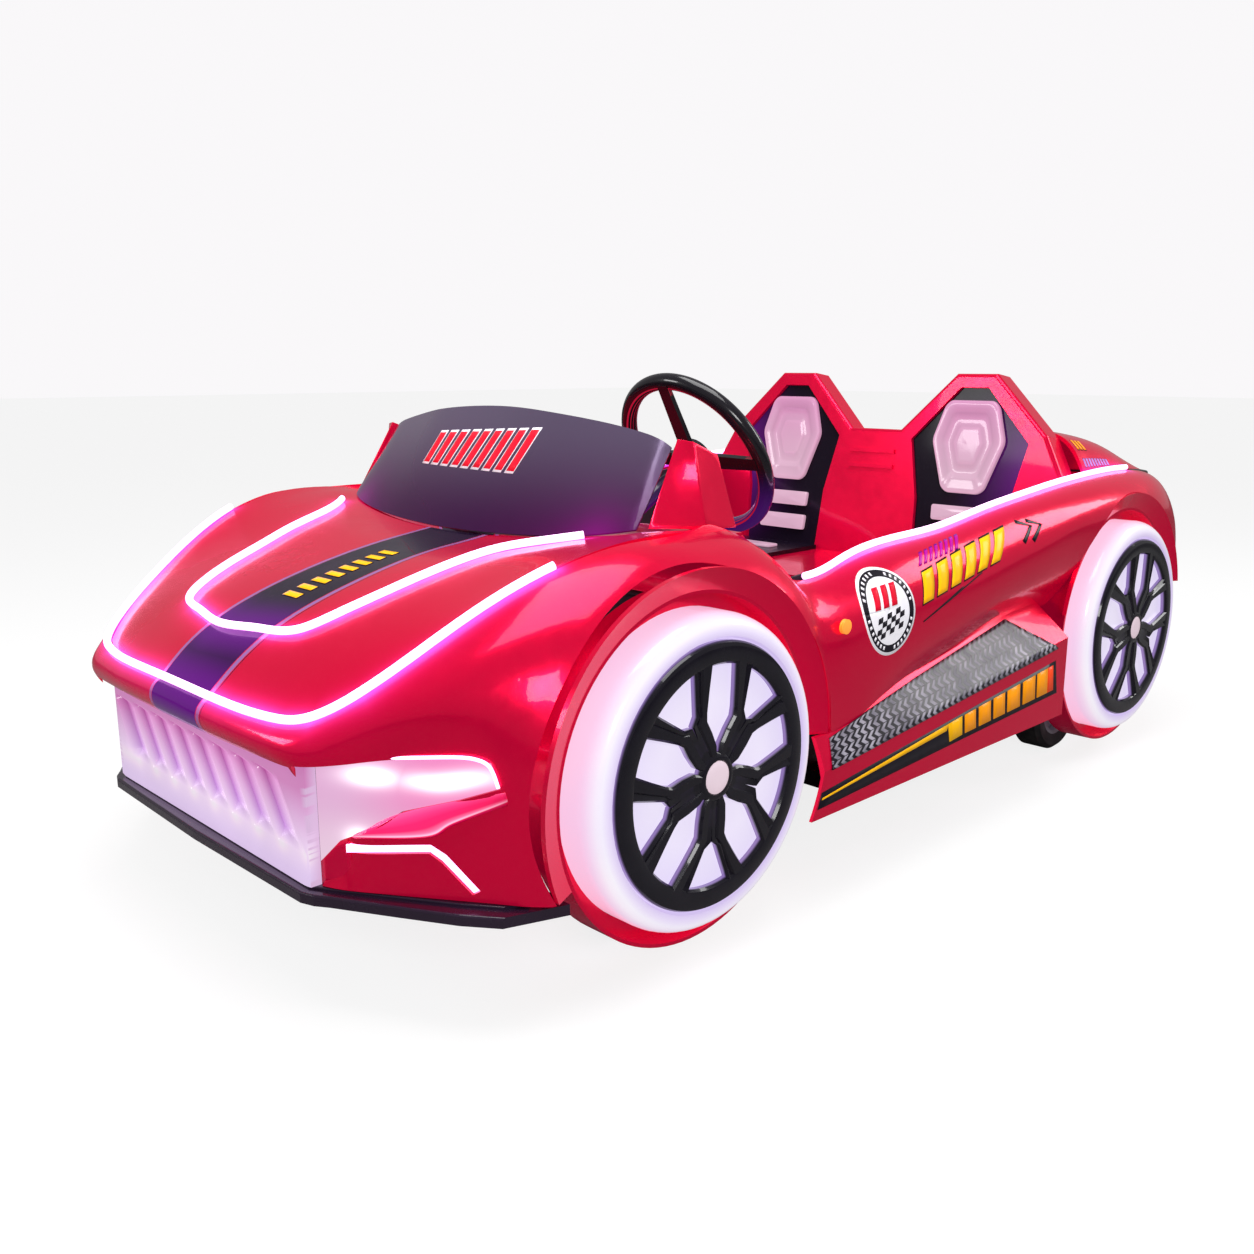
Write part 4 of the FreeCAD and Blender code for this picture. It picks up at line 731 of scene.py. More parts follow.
# ---------------------------------------------------------------- sizes and colours
class RideCarPaint(bpy.types.PropertyGroup):
    """Colours of the body and its vinyl."""
    red: bpy.props.FloatVectorProperty(
        name="Body red", description="Colour of the lacquer", subtype="COLOR", size=3,
        default=(0.86, 0.002, 0.045), min=0, max=1)
    stripe_from: bpy.props.FloatProperty(
        name="Stripe from", description="Right edge of the bonnet stripe", default=-0.030,
        unit="LENGTH")
    stripe_to: bpy.props.FloatProperty(
        name="Stripe to", description="Left edge of the bonnet stripe", default=0.100,
        unit="LENGTH")
    # brightness of the painted glow on the lacquer beside a lit line
    glow: bpy.props.FloatProperty(
        name="Glow", description="Brightness of the light thrown on the lacquer beside a lit line",
        default=1.1, min=0)
    # a faint painted red glow added evenly over the lacquer, not light from a lamp
    painted_red_glow: bpy.props.FloatProperty(
        name="Bloom", description="Red light that spreads inside the lacquer", default=0.10, min=0)
    glow_reach: bpy.props.FloatProperty(
        name="Glow reach", description="How far from a lit line its glow fades", default=0.021,
        min=0.001, unit="LENGTH")


class RideCarLights(bpy.types.PropertyGroup):
    """The lit lines."""
    tube: bpy.props.FloatVectorProperty(
        name="Tube colour", description="Colour of the lit tubes", subtype="COLOR", size=3,
        default=(1.0, 0.46, 0.96), min=0, max=1)
    tube_power: bpy.props.FloatProperty(
        name="Tube brightness", description="Strength of the lit tubes' light", default=2.3, min=0)


class RideCarWheels(bpy.types.PropertyGroup):
    """The dummy wheels' spoke covers."""
    first_stem: bpy.props.FloatProperty(
        name="First stem", default=49.0,
        description="Angle of the first forked stem above straight back, in degrees")


class RideCarStage(bpy.types.PropertyGroup):
    """Floor, lights and camera."""
    camera_place: bpy.props.FloatVectorProperty(
        name="Camera place", description="Where the camera stands", subtype="TRANSLATION", size=3,
        default=(1.521, -1.689, 0.790))
    camera_turn: bpy.props.FloatProperty(
        name="Camera turn", default=45.79,
        description="Heading of the camera, left of straight ahead, in degrees")
    camera_dip: bpy.props.FloatProperty(
        name="Camera dip", description="How far the camera looks down, in degrees", default=12.54)
    lens: bpy.props.FloatProperty(
        name="Lens", description="Focal length in millimetres", default=33.76, min=1)
    fill_light: bpy.props.FloatProperty(
        name="Fill light", description="Light that comes from all round", default=0.30, min=0)
    floor_grey: bpy.props.FloatProperty(
        name="Floor grey", description="Paleness of the floor", default=0.20, min=0, max=1)
    floor_lift: bpy.props.FloatProperty(
        name="Floor lift", description="Light of the floor's own, as in a lit cove", default=0.83,
        min=0)


# ---------------------------------------------------------------- stage and paint
# half the floor's side, in metres
FLOOR_REACH = 30.0
# each soft light's name, place, aim, side in metres and power in watts
SOFT_LIGHTS = (("soft_top", (0.4, -0.5, 3.0), (0, 0, 0.3), 2.0, 80),
               ("soft_near", (3.0, -2.2, 1.7), (0, -0.2, 0.3), 0.9, 40),
               ("soft_nose", (-1.6, -3.0, 1.7), (0, -0.7, 0.3), 0.8, 24),
               ("soft_rear", (1.8, 3.0, 2.2), (0, 0.4, 0.4), 1.2, 32))


class STAGE_OT_ride_car_stage(bpy.types.Operator):
    """Sets up the floor, the studio lights and the camera"""
    bl_idname = "ride_car.stage"
    bl_label = "Stage"

    def execute(self, context):
        context.scene.view_settings.view_transform = "Standard"
        self.floor(context.scene)
        self.lights(context.scene)
        self.camera(context.scene)
        return {"FINISHED"}

    def floor(self, scene):
        """A pale floor whose own light falls on itself alone, so the car isn't lit from below."""
        look = scene.ride_car_stage
        mesh = bpy.data.meshes.new("floor")
        mesh.from_pydata([(x * FLOOR_REACH, y * FLOOR_REACH, 0)
                          for x, y in ((-1, -1), (1, -1), (1, 1), (-1, 1))], [], [(0, 1, 2, 3)])
        floor = bpy.data.objects.new("floor", mesh)
        scene.collection.objects.link(floor)
        finish = Finish("pale_floor", Roughness=0.7, Specular_IOR_Level=0.1,
                        Emission_Color=(1, 1, 1), Emission_Strength=look.floor_lift)
        pale = (look.floor_grey,) * 3
        finish.set(Base_Color=finish.colours(finish.noise(1.5), pale, shaded(pale, 0.985)))
        mesh.materials.append(finish.material)
        floor_only = bpy.data.collections.new("floor_only")
        floor_only.objects.link(floor)
        floor.light_linking.receiver_collection = floor_only

    def lights(self, scene):
        """Light from all round, paler where the camera sees it, and four soft lights."""
        scene.world = bpy.data.worlds.new("studio")
        scene.world.use_nodes = True
        tree = scene.world.node_tree
        colour, strength = tree.nodes["Background"].inputs[:2]
        connect(colour, (1.0, 0.985, 1.0))
        seen = Value(wire(tree, "ShaderNodeLightPath").outputs["Is Camera Ray"])
        connect(strength, seen.spread(0, 1, scene.ride_car_stage.fill_light, 0.95))
        for name, place, aim, side, power in SOFT_LIGHTS:
            lamp = bpy.data.lights.new(name, "AREA")
            lamp.shape, lamp.size, lamp.energy = "SQUARE", side, power
            soft = bpy.data.objects.new(name, lamp)
            soft.location = place
            way = Vector(aim) - Vector(place)
            soft.rotation_euler = way.to_track_quat("-Z", "Y").to_euler()
            scene.collection.objects.link(soft)

    def camera(self, scene):
        """The camera, level from side to side, turned left and dipped."""
        look = scene.ride_car_stage
        camera = bpy.data.objects.new("camera", bpy.data.cameras.new("camera"))
        camera.data.lens = look.lens
        camera.data.sensor_width = 36.0
        camera.data.clip_start = 0.02
        camera.location = look.camera_place
        camera.rotation_euler = (np.radians(90 - look.camera_dip), 0, np.radians(look.camera_turn))
        scene.collection.objects.link(camera)
        scene.camera = camera


class PAINT_OT_ride_car_finishes(bpy.types.Operator):
    """Gives every part of the frame its finish, and rounds the edges of the screen's pillars"""
    bl_idname = "ride_car.finishes"
    bl_label = "Finishes"

    def execute(self, context):
        make_finishes()
        for name, parts in FINISH_OF.items():
            for part in parts:
                shown = NODES[part].data.materials
                shown.clear()
                shown.append(bpy.data.materials[name])
        pillars = NODES["screen_cowl"]
        pillars.modifiers.new("merge", "WELD").merge_threshold = 0.00005
        soft = pillars.modifiers.new("soft_edges", "BEVEL")
        soft.width, soft.segments, soft.angle_limit = 0.0035, 3, np.radians(38)
        soft.use_clamp_overlap, soft.harden_normals = True, True
        return {"FINISHED"}


# ---------------------------------------------------------------- wheels
# one arm's two edges as (radius, degrees from its stem's middle), from the hub out to the rim
ARM_INNER = np.array([(0.022, 0), (0.045, 0), (0.066, 0), (0.088, 0.6), (0.096, 7.6),
                      (0.120, 11.6), (0.146, 14.4), (0.158, 15.0)])
ARM_OUTER = np.array([(0.024, 33), (0.044, 31), (0.064, 23.0), (0.082, 17.8), (0.094, 19.4),
                      (0.120, 23.6), (0.150, 26.9), (0.158, 27.6)])
# how deep the spokes' sides go, and the profiles of a spoke cover's rim and boss and of its lit
# cap, as (radius, depth behind the covers' outer face)
SPOKE_SIDE = 0.012
RIM = [(0.1495, SPOKE_SIDE), (0.1495, 0.005), (0.1525, 0.0012), (0.156, 0), (0.172, 0.0006),
       (0.1775, 0.0022), (0.180, 0.006), (0.180, SPOKE_SIDE)]
BOSS = [(0, SPOKE_SIDE), (0.034, SPOKE_SIDE), (0.034, 0.004), (0.031, 0.001), (0.026, -0.0008),
        (0.0235, -0.0004), (0.0225, 0.002), (0, 0.002)]
CAP = [(0, 0.004), (0.0222, 0.004), (0.0222, 0.0004), (0.0205, -0.0006), (0.012, -0.0012),
       (0, -0.0014)]
FORKS = 5


def turned(profile, steps, hub, side):
    """A profile of (radius, depth) turned about a hub: each point goes round at its radius."""
    radius, depth = np.asarray(profile, float).T[:, None]
    angle = np.linspace(0, 2 * np.pi, steps, endpoint=False)[:, None]
    y = hub + radius * np.cos(angle)
    z = HUB_HEIGHT + radius * np.sin(angle)
    return np.stack([side * (SPOKE_FACE - depth) + 0 * y, y, z], axis=-1)


def wheel_arm(hub, side, stem, flip):
    """One arm of a spoke cover. Across it: up a side, over a chamfer, down to a shallow valley and
    back, each row of points a share of the way from the inner edge to the outer one."""
    def place(edge):
        angle = np.radians(stem + flip * edge[:, 1])
        return np.stack([edge[:, 0] * np.cos(angle), edge[:, 0] * np.sin(angle)], axis=-1)

    inner, outer = place(ARM_INNER), place(ARM_OUTER)
    width = np.linalg.norm(outer - inner, axis=1)[:, None]
    radius = ARM_INNER[:, :1]
    dip = np.interp(radius, [0.02, 0.05, 0.1, 0.15], [0.001, 0.004, 0.002, 0.0035])
    forked = rising(radius, 0.085, 0.094)
    bevel = 0.003 / width
    # (share of the way from the inner to the outer edge, depth)
    rows = [(0, SPOKE_SIDE), (0, 0.0032 * forked + dip * (1 - forked) + 0.0008),
            (bevel * forked, 0.0004 + dip * (1 - forked)), (0.34, 0.0006 + dip),
            (0.42, 0.0004 + dip * 0.2), (1 - bevel, 0.0004), (1, 0.0034), (1, SPOKE_SIDE)]
    flats = [inner + (outer - inner) * share for share, _ in rows]
    return np.stack([np.concatenate([side * (SPOKE_FACE - depth) + 0 * radius, hub + flat[:, :1],
                                     HUB_HEIGHT + flat[:, 1:]], axis=1)
                     for flat, (_, depth) in zip(flats, rows)], axis=1)


class WHEELS_OT_ride_car_wheels(bpy.types.Operator):
    """Builds the black forked spoke covers and the lit caps of the four big dummy wheels"""
    bl_idname = "ride_car.wheels"
    bl_label = "Dummy wheels"

    def execute(self, context):
        first_stem = context.scene.ride_car_wheels.first_stem
        spokes, caps = Shell(), Shell()
        for side in (1, -1):
            for hub in (FRONT_HUB, REAR_HUB):
                spokes.add(turned(RIM, 120, hub, side), wrap_rows=True, wrap_columns=True)
                spokes.add(turned(BOSS, 48, hub, side), wrap_rows=True)
                caps.add(turned(CAP, 48, hub, side), wrap_rows=True)
                for index in range(FORKS):
                    stem = first_stem + 360 / FORKS * index
                    for flip in (1, -1):
                        spokes.add_closed(wheel_arm(hub, side, stem, flip))
        covers = spokes.piece("wheel_spokes", "spoke_gloss", "spoke_black", 30)
        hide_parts("spoke_covers")
        caps.piece("wheel_caps", "lit_cap", "lit_white", 40)
        return {"FINISHED"}


# ---------------------------------------------------------------- nose
# the grille's blades: how many, the pitch of their grooves, and where the points lie in each
BLADES, BLADE_PITCH = 8, 0.0631
BLADE_POINTS = np.array((0.0, 0.012, 0.05, 0.14, 0.26, 0.40, 0.54, 0.68, 0.80, 0.90, 0.955, 0.985))
# each blade comes forward over this share of its pitch, then drops back into the next groove
BLADE_CREST = 0.94
# the upper edge of a headlamp, as (way along the lamp, height), and the thickness of the lit tube
# along it, a painted highlight
LAMP_EDGE = [(0.052, 0.3352), (0.090, 0.3385), (0.140, 0.3425), (0.190, 0.3462), (0.212, 0.3452),
             (0.226, 0.3400), (0.233, 0.3300), (0.239, 0.3120)]
EDGE_HIGHLIGHT_RADIUS = 0.0022
# the ledge under the left headlamp: the lamp's lower edge, the crease in front of it with its
# painted highlight, and the way the crease stands out
LEDGE_EDGE = [(0.3187, -0.9995, 0.2370), (0.3500, -0.9870, 0.2480), (0.3884, -0.9640, 0.2700),
              (0.4400, -0.9290, 0.2890), (0.4965, -0.8895, 0.3055)]
LEDGE_CREASE = [(0.3200, -0.9990, 0.2345), (0.3540, -0.9860, 0.2400), (0.4200, -0.9440, 0.2500),
                (0.4460, -0.9260, 0.2680), (0.4985, -0.8880, 0.2965)]
LEDGE_OUT = np.array((0.56, -0.83, 0.0))
# (share of the way from the edge down to the crease, share of the crease's lean, drop, ink); the
# ink
# is painted light: the lamp's pink near the edge, a highlight on the crease and shade below it
LEDGE_ROWS = [(0.0, 0.06, 0, (1.0, 0.12, 0.36)), (0.25, 0.30, 0, (0.95, 0.05, 0.24)),
              (0.5, 0.55, 0, (0.80, 0.02, 0.15)), (0.75, 0.80, 0, (0.70, 0.02, 0.14)),
              (0.93, 0.98, 0, (0.85, 0.20, 0.40)), (1.0, 1.0, 0.0010, (1.0, 0.62, 0.85)),
              (1.0, 0.90, 0.0025, (0.60, 0.01, 0.10)), (1.0, 0.45, 0.0050, (0.30, 0.0, 0.05)),
              (1.0, 0.02, 0.0070, (0.10, 0.0, 0.01))]
# the cheek below the ledge's inner end, given a faint painted red glow
CHEEK = [(0.2960, -1.0200, 0.2262), (0.3290, -0.9990, 0.2262), (0.3330, -0.9985, 0.1645),
         (0.2930, -1.0190, 0.1645)]


class NOSE_OT_ride_car_grille(bpy.types.Operator):
    """Builds the lit grille with its slanting blades, the painted highlight tubes on the headlamps'
    upper edges, and the headlamps' ledges
    """
    bl_idname = "ride_car.grille"
    bl_label = "Grille and lamp trims"

    def execute(self, context):
        self.grille()
        self.edge_highlights()
        self.ledges()
        return {"FINISHED"}

    def grille(self):
        """A saw-tooth across: just past each slanting groove the face lies deep, then comes forward
        to the next. The teeth fade out below and above, and the columns slant with them."""
        low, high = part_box("grille")
        first = low.x + 0.0065
        last = first + BLADE_PITCH * BLADES
        grooves = np.arange(BLADES)[:, None] + BLADE_POINTS
        across = np.concatenate([np.linspace(low.x, first, 5)[:-1],
                                 (first + BLADE_PITCH * grooves).ravel(),
                                 np.linspace(last, high.x, 7)])[None, :]
        z = np.concatenate([np.linspace(low.z, 0.200, 14), np.linspace(0.202, 0.236, 24),
                            np.linspace(0.238, high.z, 34)])[:, None]
        phase = (across - first) / BLADE_PITCH
        bladed = (phase >= 0) & (phase < BLADES)
        part = np.where(bladed, phase - np.floor(phase), BLADE_CREST)
        rise = rising(part, 0, BLADE_CREST) * rising(part, 1, BLADE_CREST)
        slant = rising(across, low.x, first) * rising(across, high.x, last)
        x = across + 0.68 * (0.300 - np.clip(z, 0.205, 0.300)) * slant
        teeth = rising(z, 0.2070, 0.2190) ** 0.8 * rising(z, 0.296, 0.286) * bladed
        rolled = 0.0025 * rising(np.abs(x), high.x - 0.016, high.x) ** 2
        y = low.y + 0.0006 + 0.0135 * (1 - rise) * teeth + rolled
        face = np.stack([x, y, z + 0 * x], axis=-1)
        flat = (1, 0, 1)
        back = (0, high.y, 0)
        ring = np.concatenate([face[:1] * flat + back, face, face[-1:] * flat + back])

        # the ink is painted light and shade: darker deep in each groove and brighter towards the
        # crest, pinker and darker towards the top, lilac along the foot band
        tall = rising(z, 0.205, 0.290) + 0 * x
        shade = rise * teeth + (1 - teeth) * (0.55 + 0.45 * (1 - tall))
        colour = mixed(shade, mixed(tall, (0.56, 0.26, 0.78), (0.46, 0.06, 0.30)),
                       mixed(tall ** 1.5, (0.96, 0.74, 1.0), (0.92, 0.36, 0.78)))
        colour = mixed(rising(z, 0.2065, 0.1765) + 0 * x, colour, (0.84, 0.64, 0.98))
        # painted glints: a soft highlight at the foot of each groove
        hot = (np.exp(-((z - 0.206) / 0.012) ** 2)
               * np.exp(-((phase - np.round(phase) - 0.1) / 0.22) ** 2))
        colour = np.clip(colour + hot[..., None] * 0.16, 0, 1)
        foot, head = (np.broadcast_to(ink, colour[:1].shape)
                      for ink in ((0.7, 0.5, 0.85), (0.7, 0.3, 0.55)))
        shell = Shell()
        shell.add(ring, wrap_rows=True, ink=np.concatenate([foot, colour, head]))
        for end in (0, -1):
            edge = ring[:, end]
            shell.add(np.stack([edge, edge * flat + back], axis=1), wrap_rows=True,
                      ink=(0.78, 0.52, 0.80))
        lens = shell.piece("grille_lens", "lit_grille", "lit_white", 50)
        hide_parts("grille")

    def edge_highlights(self):
        """A thin lit tube round the upper edge of each headlamp: a painted highlight, not a lamp.
        """
        along, up = smooth_path(LAMP_EDGE).T
        edge_highlights = Shell()
        for side in (1, -1):
            path = np.stack([side * (LAMP_START[0] + LAMP_WAY[0] * along + 0.001),
                             LAMP_START[1] + LAMP_WAY[1] * along - 0.002, up], axis=-1)
            edge_highlights.add_closed(carried(path, EDGE_HIGHLIGHT_RADIUS, 10))
        edge_highlights.piece("lamp_edge_highlights", "lit_tube", "light_strip", 60)

    def ledges(self):
        """A ledge under each headlamp, which leans out from the lamp's lower edge to a crease and
        then turns back, and the flat cheek below its inner end. Their inks are painted light: the
        lamp's pink glow, a highlight on the crease and shade below it, fading towards the ends, and
        a faint red glow on the cheek."""
        edge, crease = smooth_path(LEDGE_EDGE), smooth_path(LEDGE_CREASE)
        share = np.linspace(0, 1, len(edge))[:, None]
        proud = 0.008 * np.sin(np.pi * share) ** 0.6
        grid = np.stack([edge + (crease - edge) * way + LEDGE_OUT * (proud * lean + 0.0006)
                         - (0, 0, drop) for way, lean, drop, _ in LEDGE_ROWS])
        fade_out = 0.45 + 0.55 * np.sin(np.pi * share) ** 0.5
        inks = np.array([ink for *_, ink in LEDGE_ROWS])[:, None] * fade_out
        ledges = Shell()
        for side in (1, -1):
            ledges.add((grid * (side, 1, 1))[:, ::side], ink=inks[:, ::side])
            cheek = patch(CHEEK, 6, 6) * (side, 1, 1)
            ledges.add(cheek[:, ::side], ink=(0.10, 0.0, 0.012))
        thickened(ledges.piece("lamp_ledges", "lit_lacquer", "body_red", 50, closed=False), 0.0015)


class BODY_OT_ride_car_seals(bpy.types.Operator):
    """Builds the rubber seals in the joints under the rear deck and along the dash's foot"""
    bl_idname = "ride_car.seals"
    bl_label = "Body seals"

    def execute(self, context):
        half = smooth_path(DECK_SEAL_LINE, 6)
        deck_line = np.vstack([half[:0:-1] * (-1, 1, 1), half])
        for name, line, radius, flat in (("deck_seal", deck_line, 0.0048, 1.0),
                                         ("dash_seal", DASH_SEAL_LINE, 0.0125, 0.6)):
            seal = Shell()
            seal.add_closed(carried(line, radius, 12, flat))
            seal.piece(name, "solid_rubber", "trim_black", 60)
        return {"FINISHED"}


# ---------------------------------------------------------------- printed marks
BLACK, YELLOW, ORANGE = (0.010, 0.008, 0.014), (1.0, 0.50, 0.004), (1.0, 0.34, 0.006)
EMBER, CRIMSON, CHERRY = (0.95, 0.07, 0.012), (0.72, 0.004, 0.030), (0.80, 0.010, 0.030)
WHITE, PURPLE, MAGENTA = (0.86, 0.84, 0.90), (0.10, 0.0, 0.20), (0.45, 0.0, 0.30)
LILAC, MAROON = (0.45, 0.22, 0.62), (0.20, 0.02, 0.12)
# thickness of one layer of film
FILM = 0.0004
# the door's roundel: its middle along and up, its radius, and one square of its chequer
ROUNDEL_Y, ROUNDEL_Z, ROUNDEL_RADIUS, SQUARE = -0.1820, 0.4275, 0.0700, 0.0118
# front and back of each orange block in the sill's band
SILL_BLOCKS = [(0.0200, 0.0553), (0.0651, 0.1045), (0.1139, 0.1527), (0.1613, 0.2057),
               (0.2160, 0.2607), (0.2679, 0.3070)]
# how far out a sheet starts: beside a door, on the sill's face, and above the body
DOOR_OUT, SILL_OUT, ABOVE = 0.62, 0.5684, 0.70


class Marks(Shell):
    """Flat printed shapes: each is a patch on its own layer of film."""

    def __init__(self, way, side, out):
        """way is the axis that they look along, side is 1 or -1 for up or down it, and out is how
        far along it they start."""
        super().__init__()
        self.way, self.side, self.out, self.layers = way, side, out, []

    def film(self, flat, ink, layer=0):
        """A grid of places on the flat, facing outwards on both sides of the car."""
        placed = np.insert(flat, "xyz".index(self.way), self.side * self.out, axis=-1)
        ink = np.broadcast_to(np.asarray(ink, float), placed.shape)
        turn = self.side if self.way == "x" else 1
        self.add(placed[:, ::turn], ink=ink[:, ::turn])
        self.layers.append(np.full(len(self.points[-1]), layer))

    def stick(self, corners, ink, layer=0, rows=1, columns=1):
        """A four-cornered patch; its corners go round from its high front one, seen on the left."""
        self.film(patch(corners, rows, columns), ink, layer)

    def bars(self, corners, count, ink, edge_ink, edge, share, layer=0):
        """A row of like bars between four corners, each over a slightly larger one of another ink.
        share is how much of its room each bar fills."""
        a, b, c, d = np.array(corners, float)
        for index in range(count):
            u0, u1 = index / count, (index + share) / count
            quad = np.array([a + (b - a) * u0, a + (b - a) * u1,
                             d + (c - d) * u1, d + (c - d) * u0])
            middle = quad.mean(axis=0)
            size = np.abs(quad - middle).max(axis=0)
            self.stick(middle + (quad - middle) * (1 + edge / size), edge_ink, layer, 6, 3)
            self.stick(quad, ink, layer + 1, 6, 3)

    def lay(self, name, target, lift=0.0006, depth=FILM, finish="printed_vinyl", slot="trim_black"):
        """Sets the patches on a part's surface, each layer a little above the last."""
        made = self.piece(name, finish, slot, 60, closed=False)
        if target:
            laid_on(made, target, self.way, lift)
        points = made.data.vertices
        places = np.empty(len(points) * 3)
        points.foreach_get("co", places)
        places = places.reshape(-1, 3)
        places[:, "xyz".index(self.way)] += self.side * FILM * np.concatenate(self.layers)
        points.foreach_set("co", places.ravel())
        return thickened(made, depth)


def sill_top(y):
    """A place just under the straight upper edge of the sill's band."""
    return y, 0.2256 + 0.0975 * (y - 0.020) - 0.002


def sill_foot(y):
    """A place just over the straight lower edge of the sill's band."""
    return y, 0.1880 + 0.0465 * (y - 0.024) + 0.003


class MARKS_OT_ride_car_marks(bpy.types.Operator):
    """Sticks on the printed vinyl: sill bands, plain roundels, and bars on doors and screen"""
    bl_idname = "ride_car.marks"
    bl_label = "Printed marks"

    def execute(self, context):
        for side, word in ((1, "left"), (-1, "right")):
            self.sill(side, word)
            self.door(side, word)
            self.tail(side, word)
        self.screen()
        self.bonnet()
        return {"FINISHED"}

    def sill(self, side, word):
        """A black band that widens backwards, a long yellow dart, and blocks that rise with it."""
        marks = Marks("x", side, SILL_OUT)
        marks.stick([(-0.3705, 0.1885), (0.337, 0.2608), (0.3505, 0.1970), (-0.3795, 0.1645)],
                    BLACK, 0, 2, 24)
        marks.stick([(-0.3690, 0.1800), (-0.0300, 0.2187), (-0.0346, 0.2081), (-0.3700, 0.1772)],
                    YELLOW, 1, 1, 12)
        marks.stick([(-0.0312, 0.2185), (0.0120, 0.2234), (0.0155, 0.1905), (-0.0239, 0.1866)],
                    YELLOW, 1, 2, 3)
        for start, end in SILL_BLOCKS:
            marks.stick([sill_top(start), sill_top(end), sill_foot(end + 0.004),
                         sill_foot(start + 0.004)], ORANGE, 1, 2, 3)
        marks.stick([sill_top(0.3070), sill_top(0.3280), (0.3345, sill_foot(0.3340)[1]),
                     sill_foot(0.3110)], EMBER, 1, 2, 3)
        marks.lay(f"sill_bands_{word}", None)

    def door(self, side, word):
        """A roundel of plain rings with a chequer, slanting bars behind it and two chevrons."""
        marks = Marks("x", side, DOOR_OUT)
        self.roundel(marks)
        marks.bars([(-0.0760, 0.4700), (0.2190, 0.5180), (0.1640, 0.4680), (-0.0920, 0.4240)], 6,
                   YELLOW, BLACK, 0.0030, 0.70)
        marks.bars([(-0.0520, 0.4960), (0.0880, 0.5130), (0.0600, 0.4950), (-0.0740, 0.4800)], 8,
                   MAGENTA, PURPLE, 0.0014, 0.55)
        for tip in (0.282, 0.312):
            for up in (1, -1):
                y, z = (tip - 0.036, 0.524) if up > 0 else (tip - 0.042, 0.484)
                arm = [(y, z), (tip, 0.512), (tip - 0.010, 0.512), (y - 0.006, z - up * 0.006)]
                marks.stick(arm[::up], BLACK, 0, 4, 6)
        for end_y, end_z in ((0.0922, 0.4520), (0.0300, 0.4360)):
            marks.stick([(-0.0916, 0.3958 + 0.0012), (end_y, end_z + 0.0012),
                         (end_y, end_z - 0.0010), (-0.0916, 0.3958 - 0.0010)], BLACK, 0, 1, 24)
        marks.lay(f"door_marks_{word}", f"{word}_side_body")

    def roundel(self, marks):
        """Rings on an ellipse, drawn in above its middle where the shoulder leans away, and inside
        them a slanting chequer under three bars."""
        def ring(reach, turn):
            up = reach * np.sin(turn)
            return np.stack([ROUNDEL_Y + 0.95 * reach * np.cos(turn),
                             ROUNDEL_Z + up * (1 - 1.9 * np.clip(up, 0, None))], axis=-1)

        angle = np.linspace(np.pi, -np.pi, 97)[None, :]
        for inner, outer, ink, layer in ((0.001, 1.0, WHITE, 0), (0.765, 0.93, BLACK, 1)):
            reach = np.linspace(outer, inner, 7)[:, None] * ROUNDEL_RADIUS
            marks.film(ring(reach, angle), ink, layer)
        tick_reach = np.array([[0.89], [0.81]]) * ROUNDEL_RADIUS
        for tick in range(36):
            if tick % 9 not in (0, 8):
                turn = np.radians(10 * tick + np.array([[2.1, -2.1]]))
                marks.film(ring(tick_reach, turn), WHITE, 2)
        lean, tall = 0.2 * SQUARE, 0.72 * SQUARE
        for row in range(4):
            for column in range(row % 2, 6, 2):
                y = ROUNDEL_Y + (column - 3) * SQUARE + (1.5 - row) * lean
                z = ROUNDEL_Z - 0.004 - row * tall + (column - 2.5) * 0.0024
                marks.stick([(y, z), (y + SQUARE, z + 0.0024),
                             (y + SQUARE - lean, z + 0.0024 - tall),
                             (y - lean, z - tall)], BLACK, 2)
        corners = [(-0.028, 0.034), (0.036, 0.039), (0.028, 0.006), (-0.036, 0.002)]
        marks.bars(np.array(corners) + (ROUNDEL_Y, ROUNDEL_Z), 3, CRIMSON, WHITE, 0.0008, 0.66, 1)

    def tail(self, side, word):
        """Small orange and lilac bars on the tail's shoulder."""
        marks = Marks("z", 1, ABOVE)
        for inner, outer, back, count, ink, edge in ((0.418, 0.436, 0.684, 3, ORANGE, BLACK),
                                                     (0.4475, 0.4555, 0.755, 9, LILAC, MAROON)):
            corners = [(side * inner, 0.640), (side * inner, back), (side * outer, back),
                       (side * outer, 0.640)]
            marks.bars(corners[::side], count, ink, edge, 0.0008, 0.6)
        marks.lay(f"tail_marks_{word}", "rear_body")

    def screen(self):
        """Red bars edged in white across the upper part of the screen."""
        marks = Marks("y", -1, 0.80)
        marks.bars([(-0.122, 0.681), (0.136, 0.695), (0.118, 0.632), (-0.136, 0.634)], 9, CHERRY,
                   WHITE, 0.0034, 0.60)
        marks.lay("screen_marks", "windscreen")

    def bonnet(self):
        """Small yellow bars along the bonnet's dark stripe."""
        marks = Marks("z", 1, ABOVE)
        marks.bars([(0.022, -0.905), (0.022, -0.725), (0.060, -0.725), (0.060, -0.905)], 8, YELLOW,
                   BLACK, 0.0010, 0.50)
        marks.lay("bonnet_marks", "front_body")


# ---------------------------------------------------------------- steps
# the crease under the door, and the start and the run of the sill's edge, each along and up
STEP_CREASE = np.array([(-0.3305, 0.2590), (-0.2222, 0.2770), (-0.0748, 0.2990),
                        (0.0629, 0.3175), (0.2523, 0.3425)])
STEP_FOOT, STEP_RUN = (-0.3490, 0.2185), (0.6880, 0.0650)
# how far a step's woven plate reaches across, for its pattern
STEP_WIDTH = 0.066


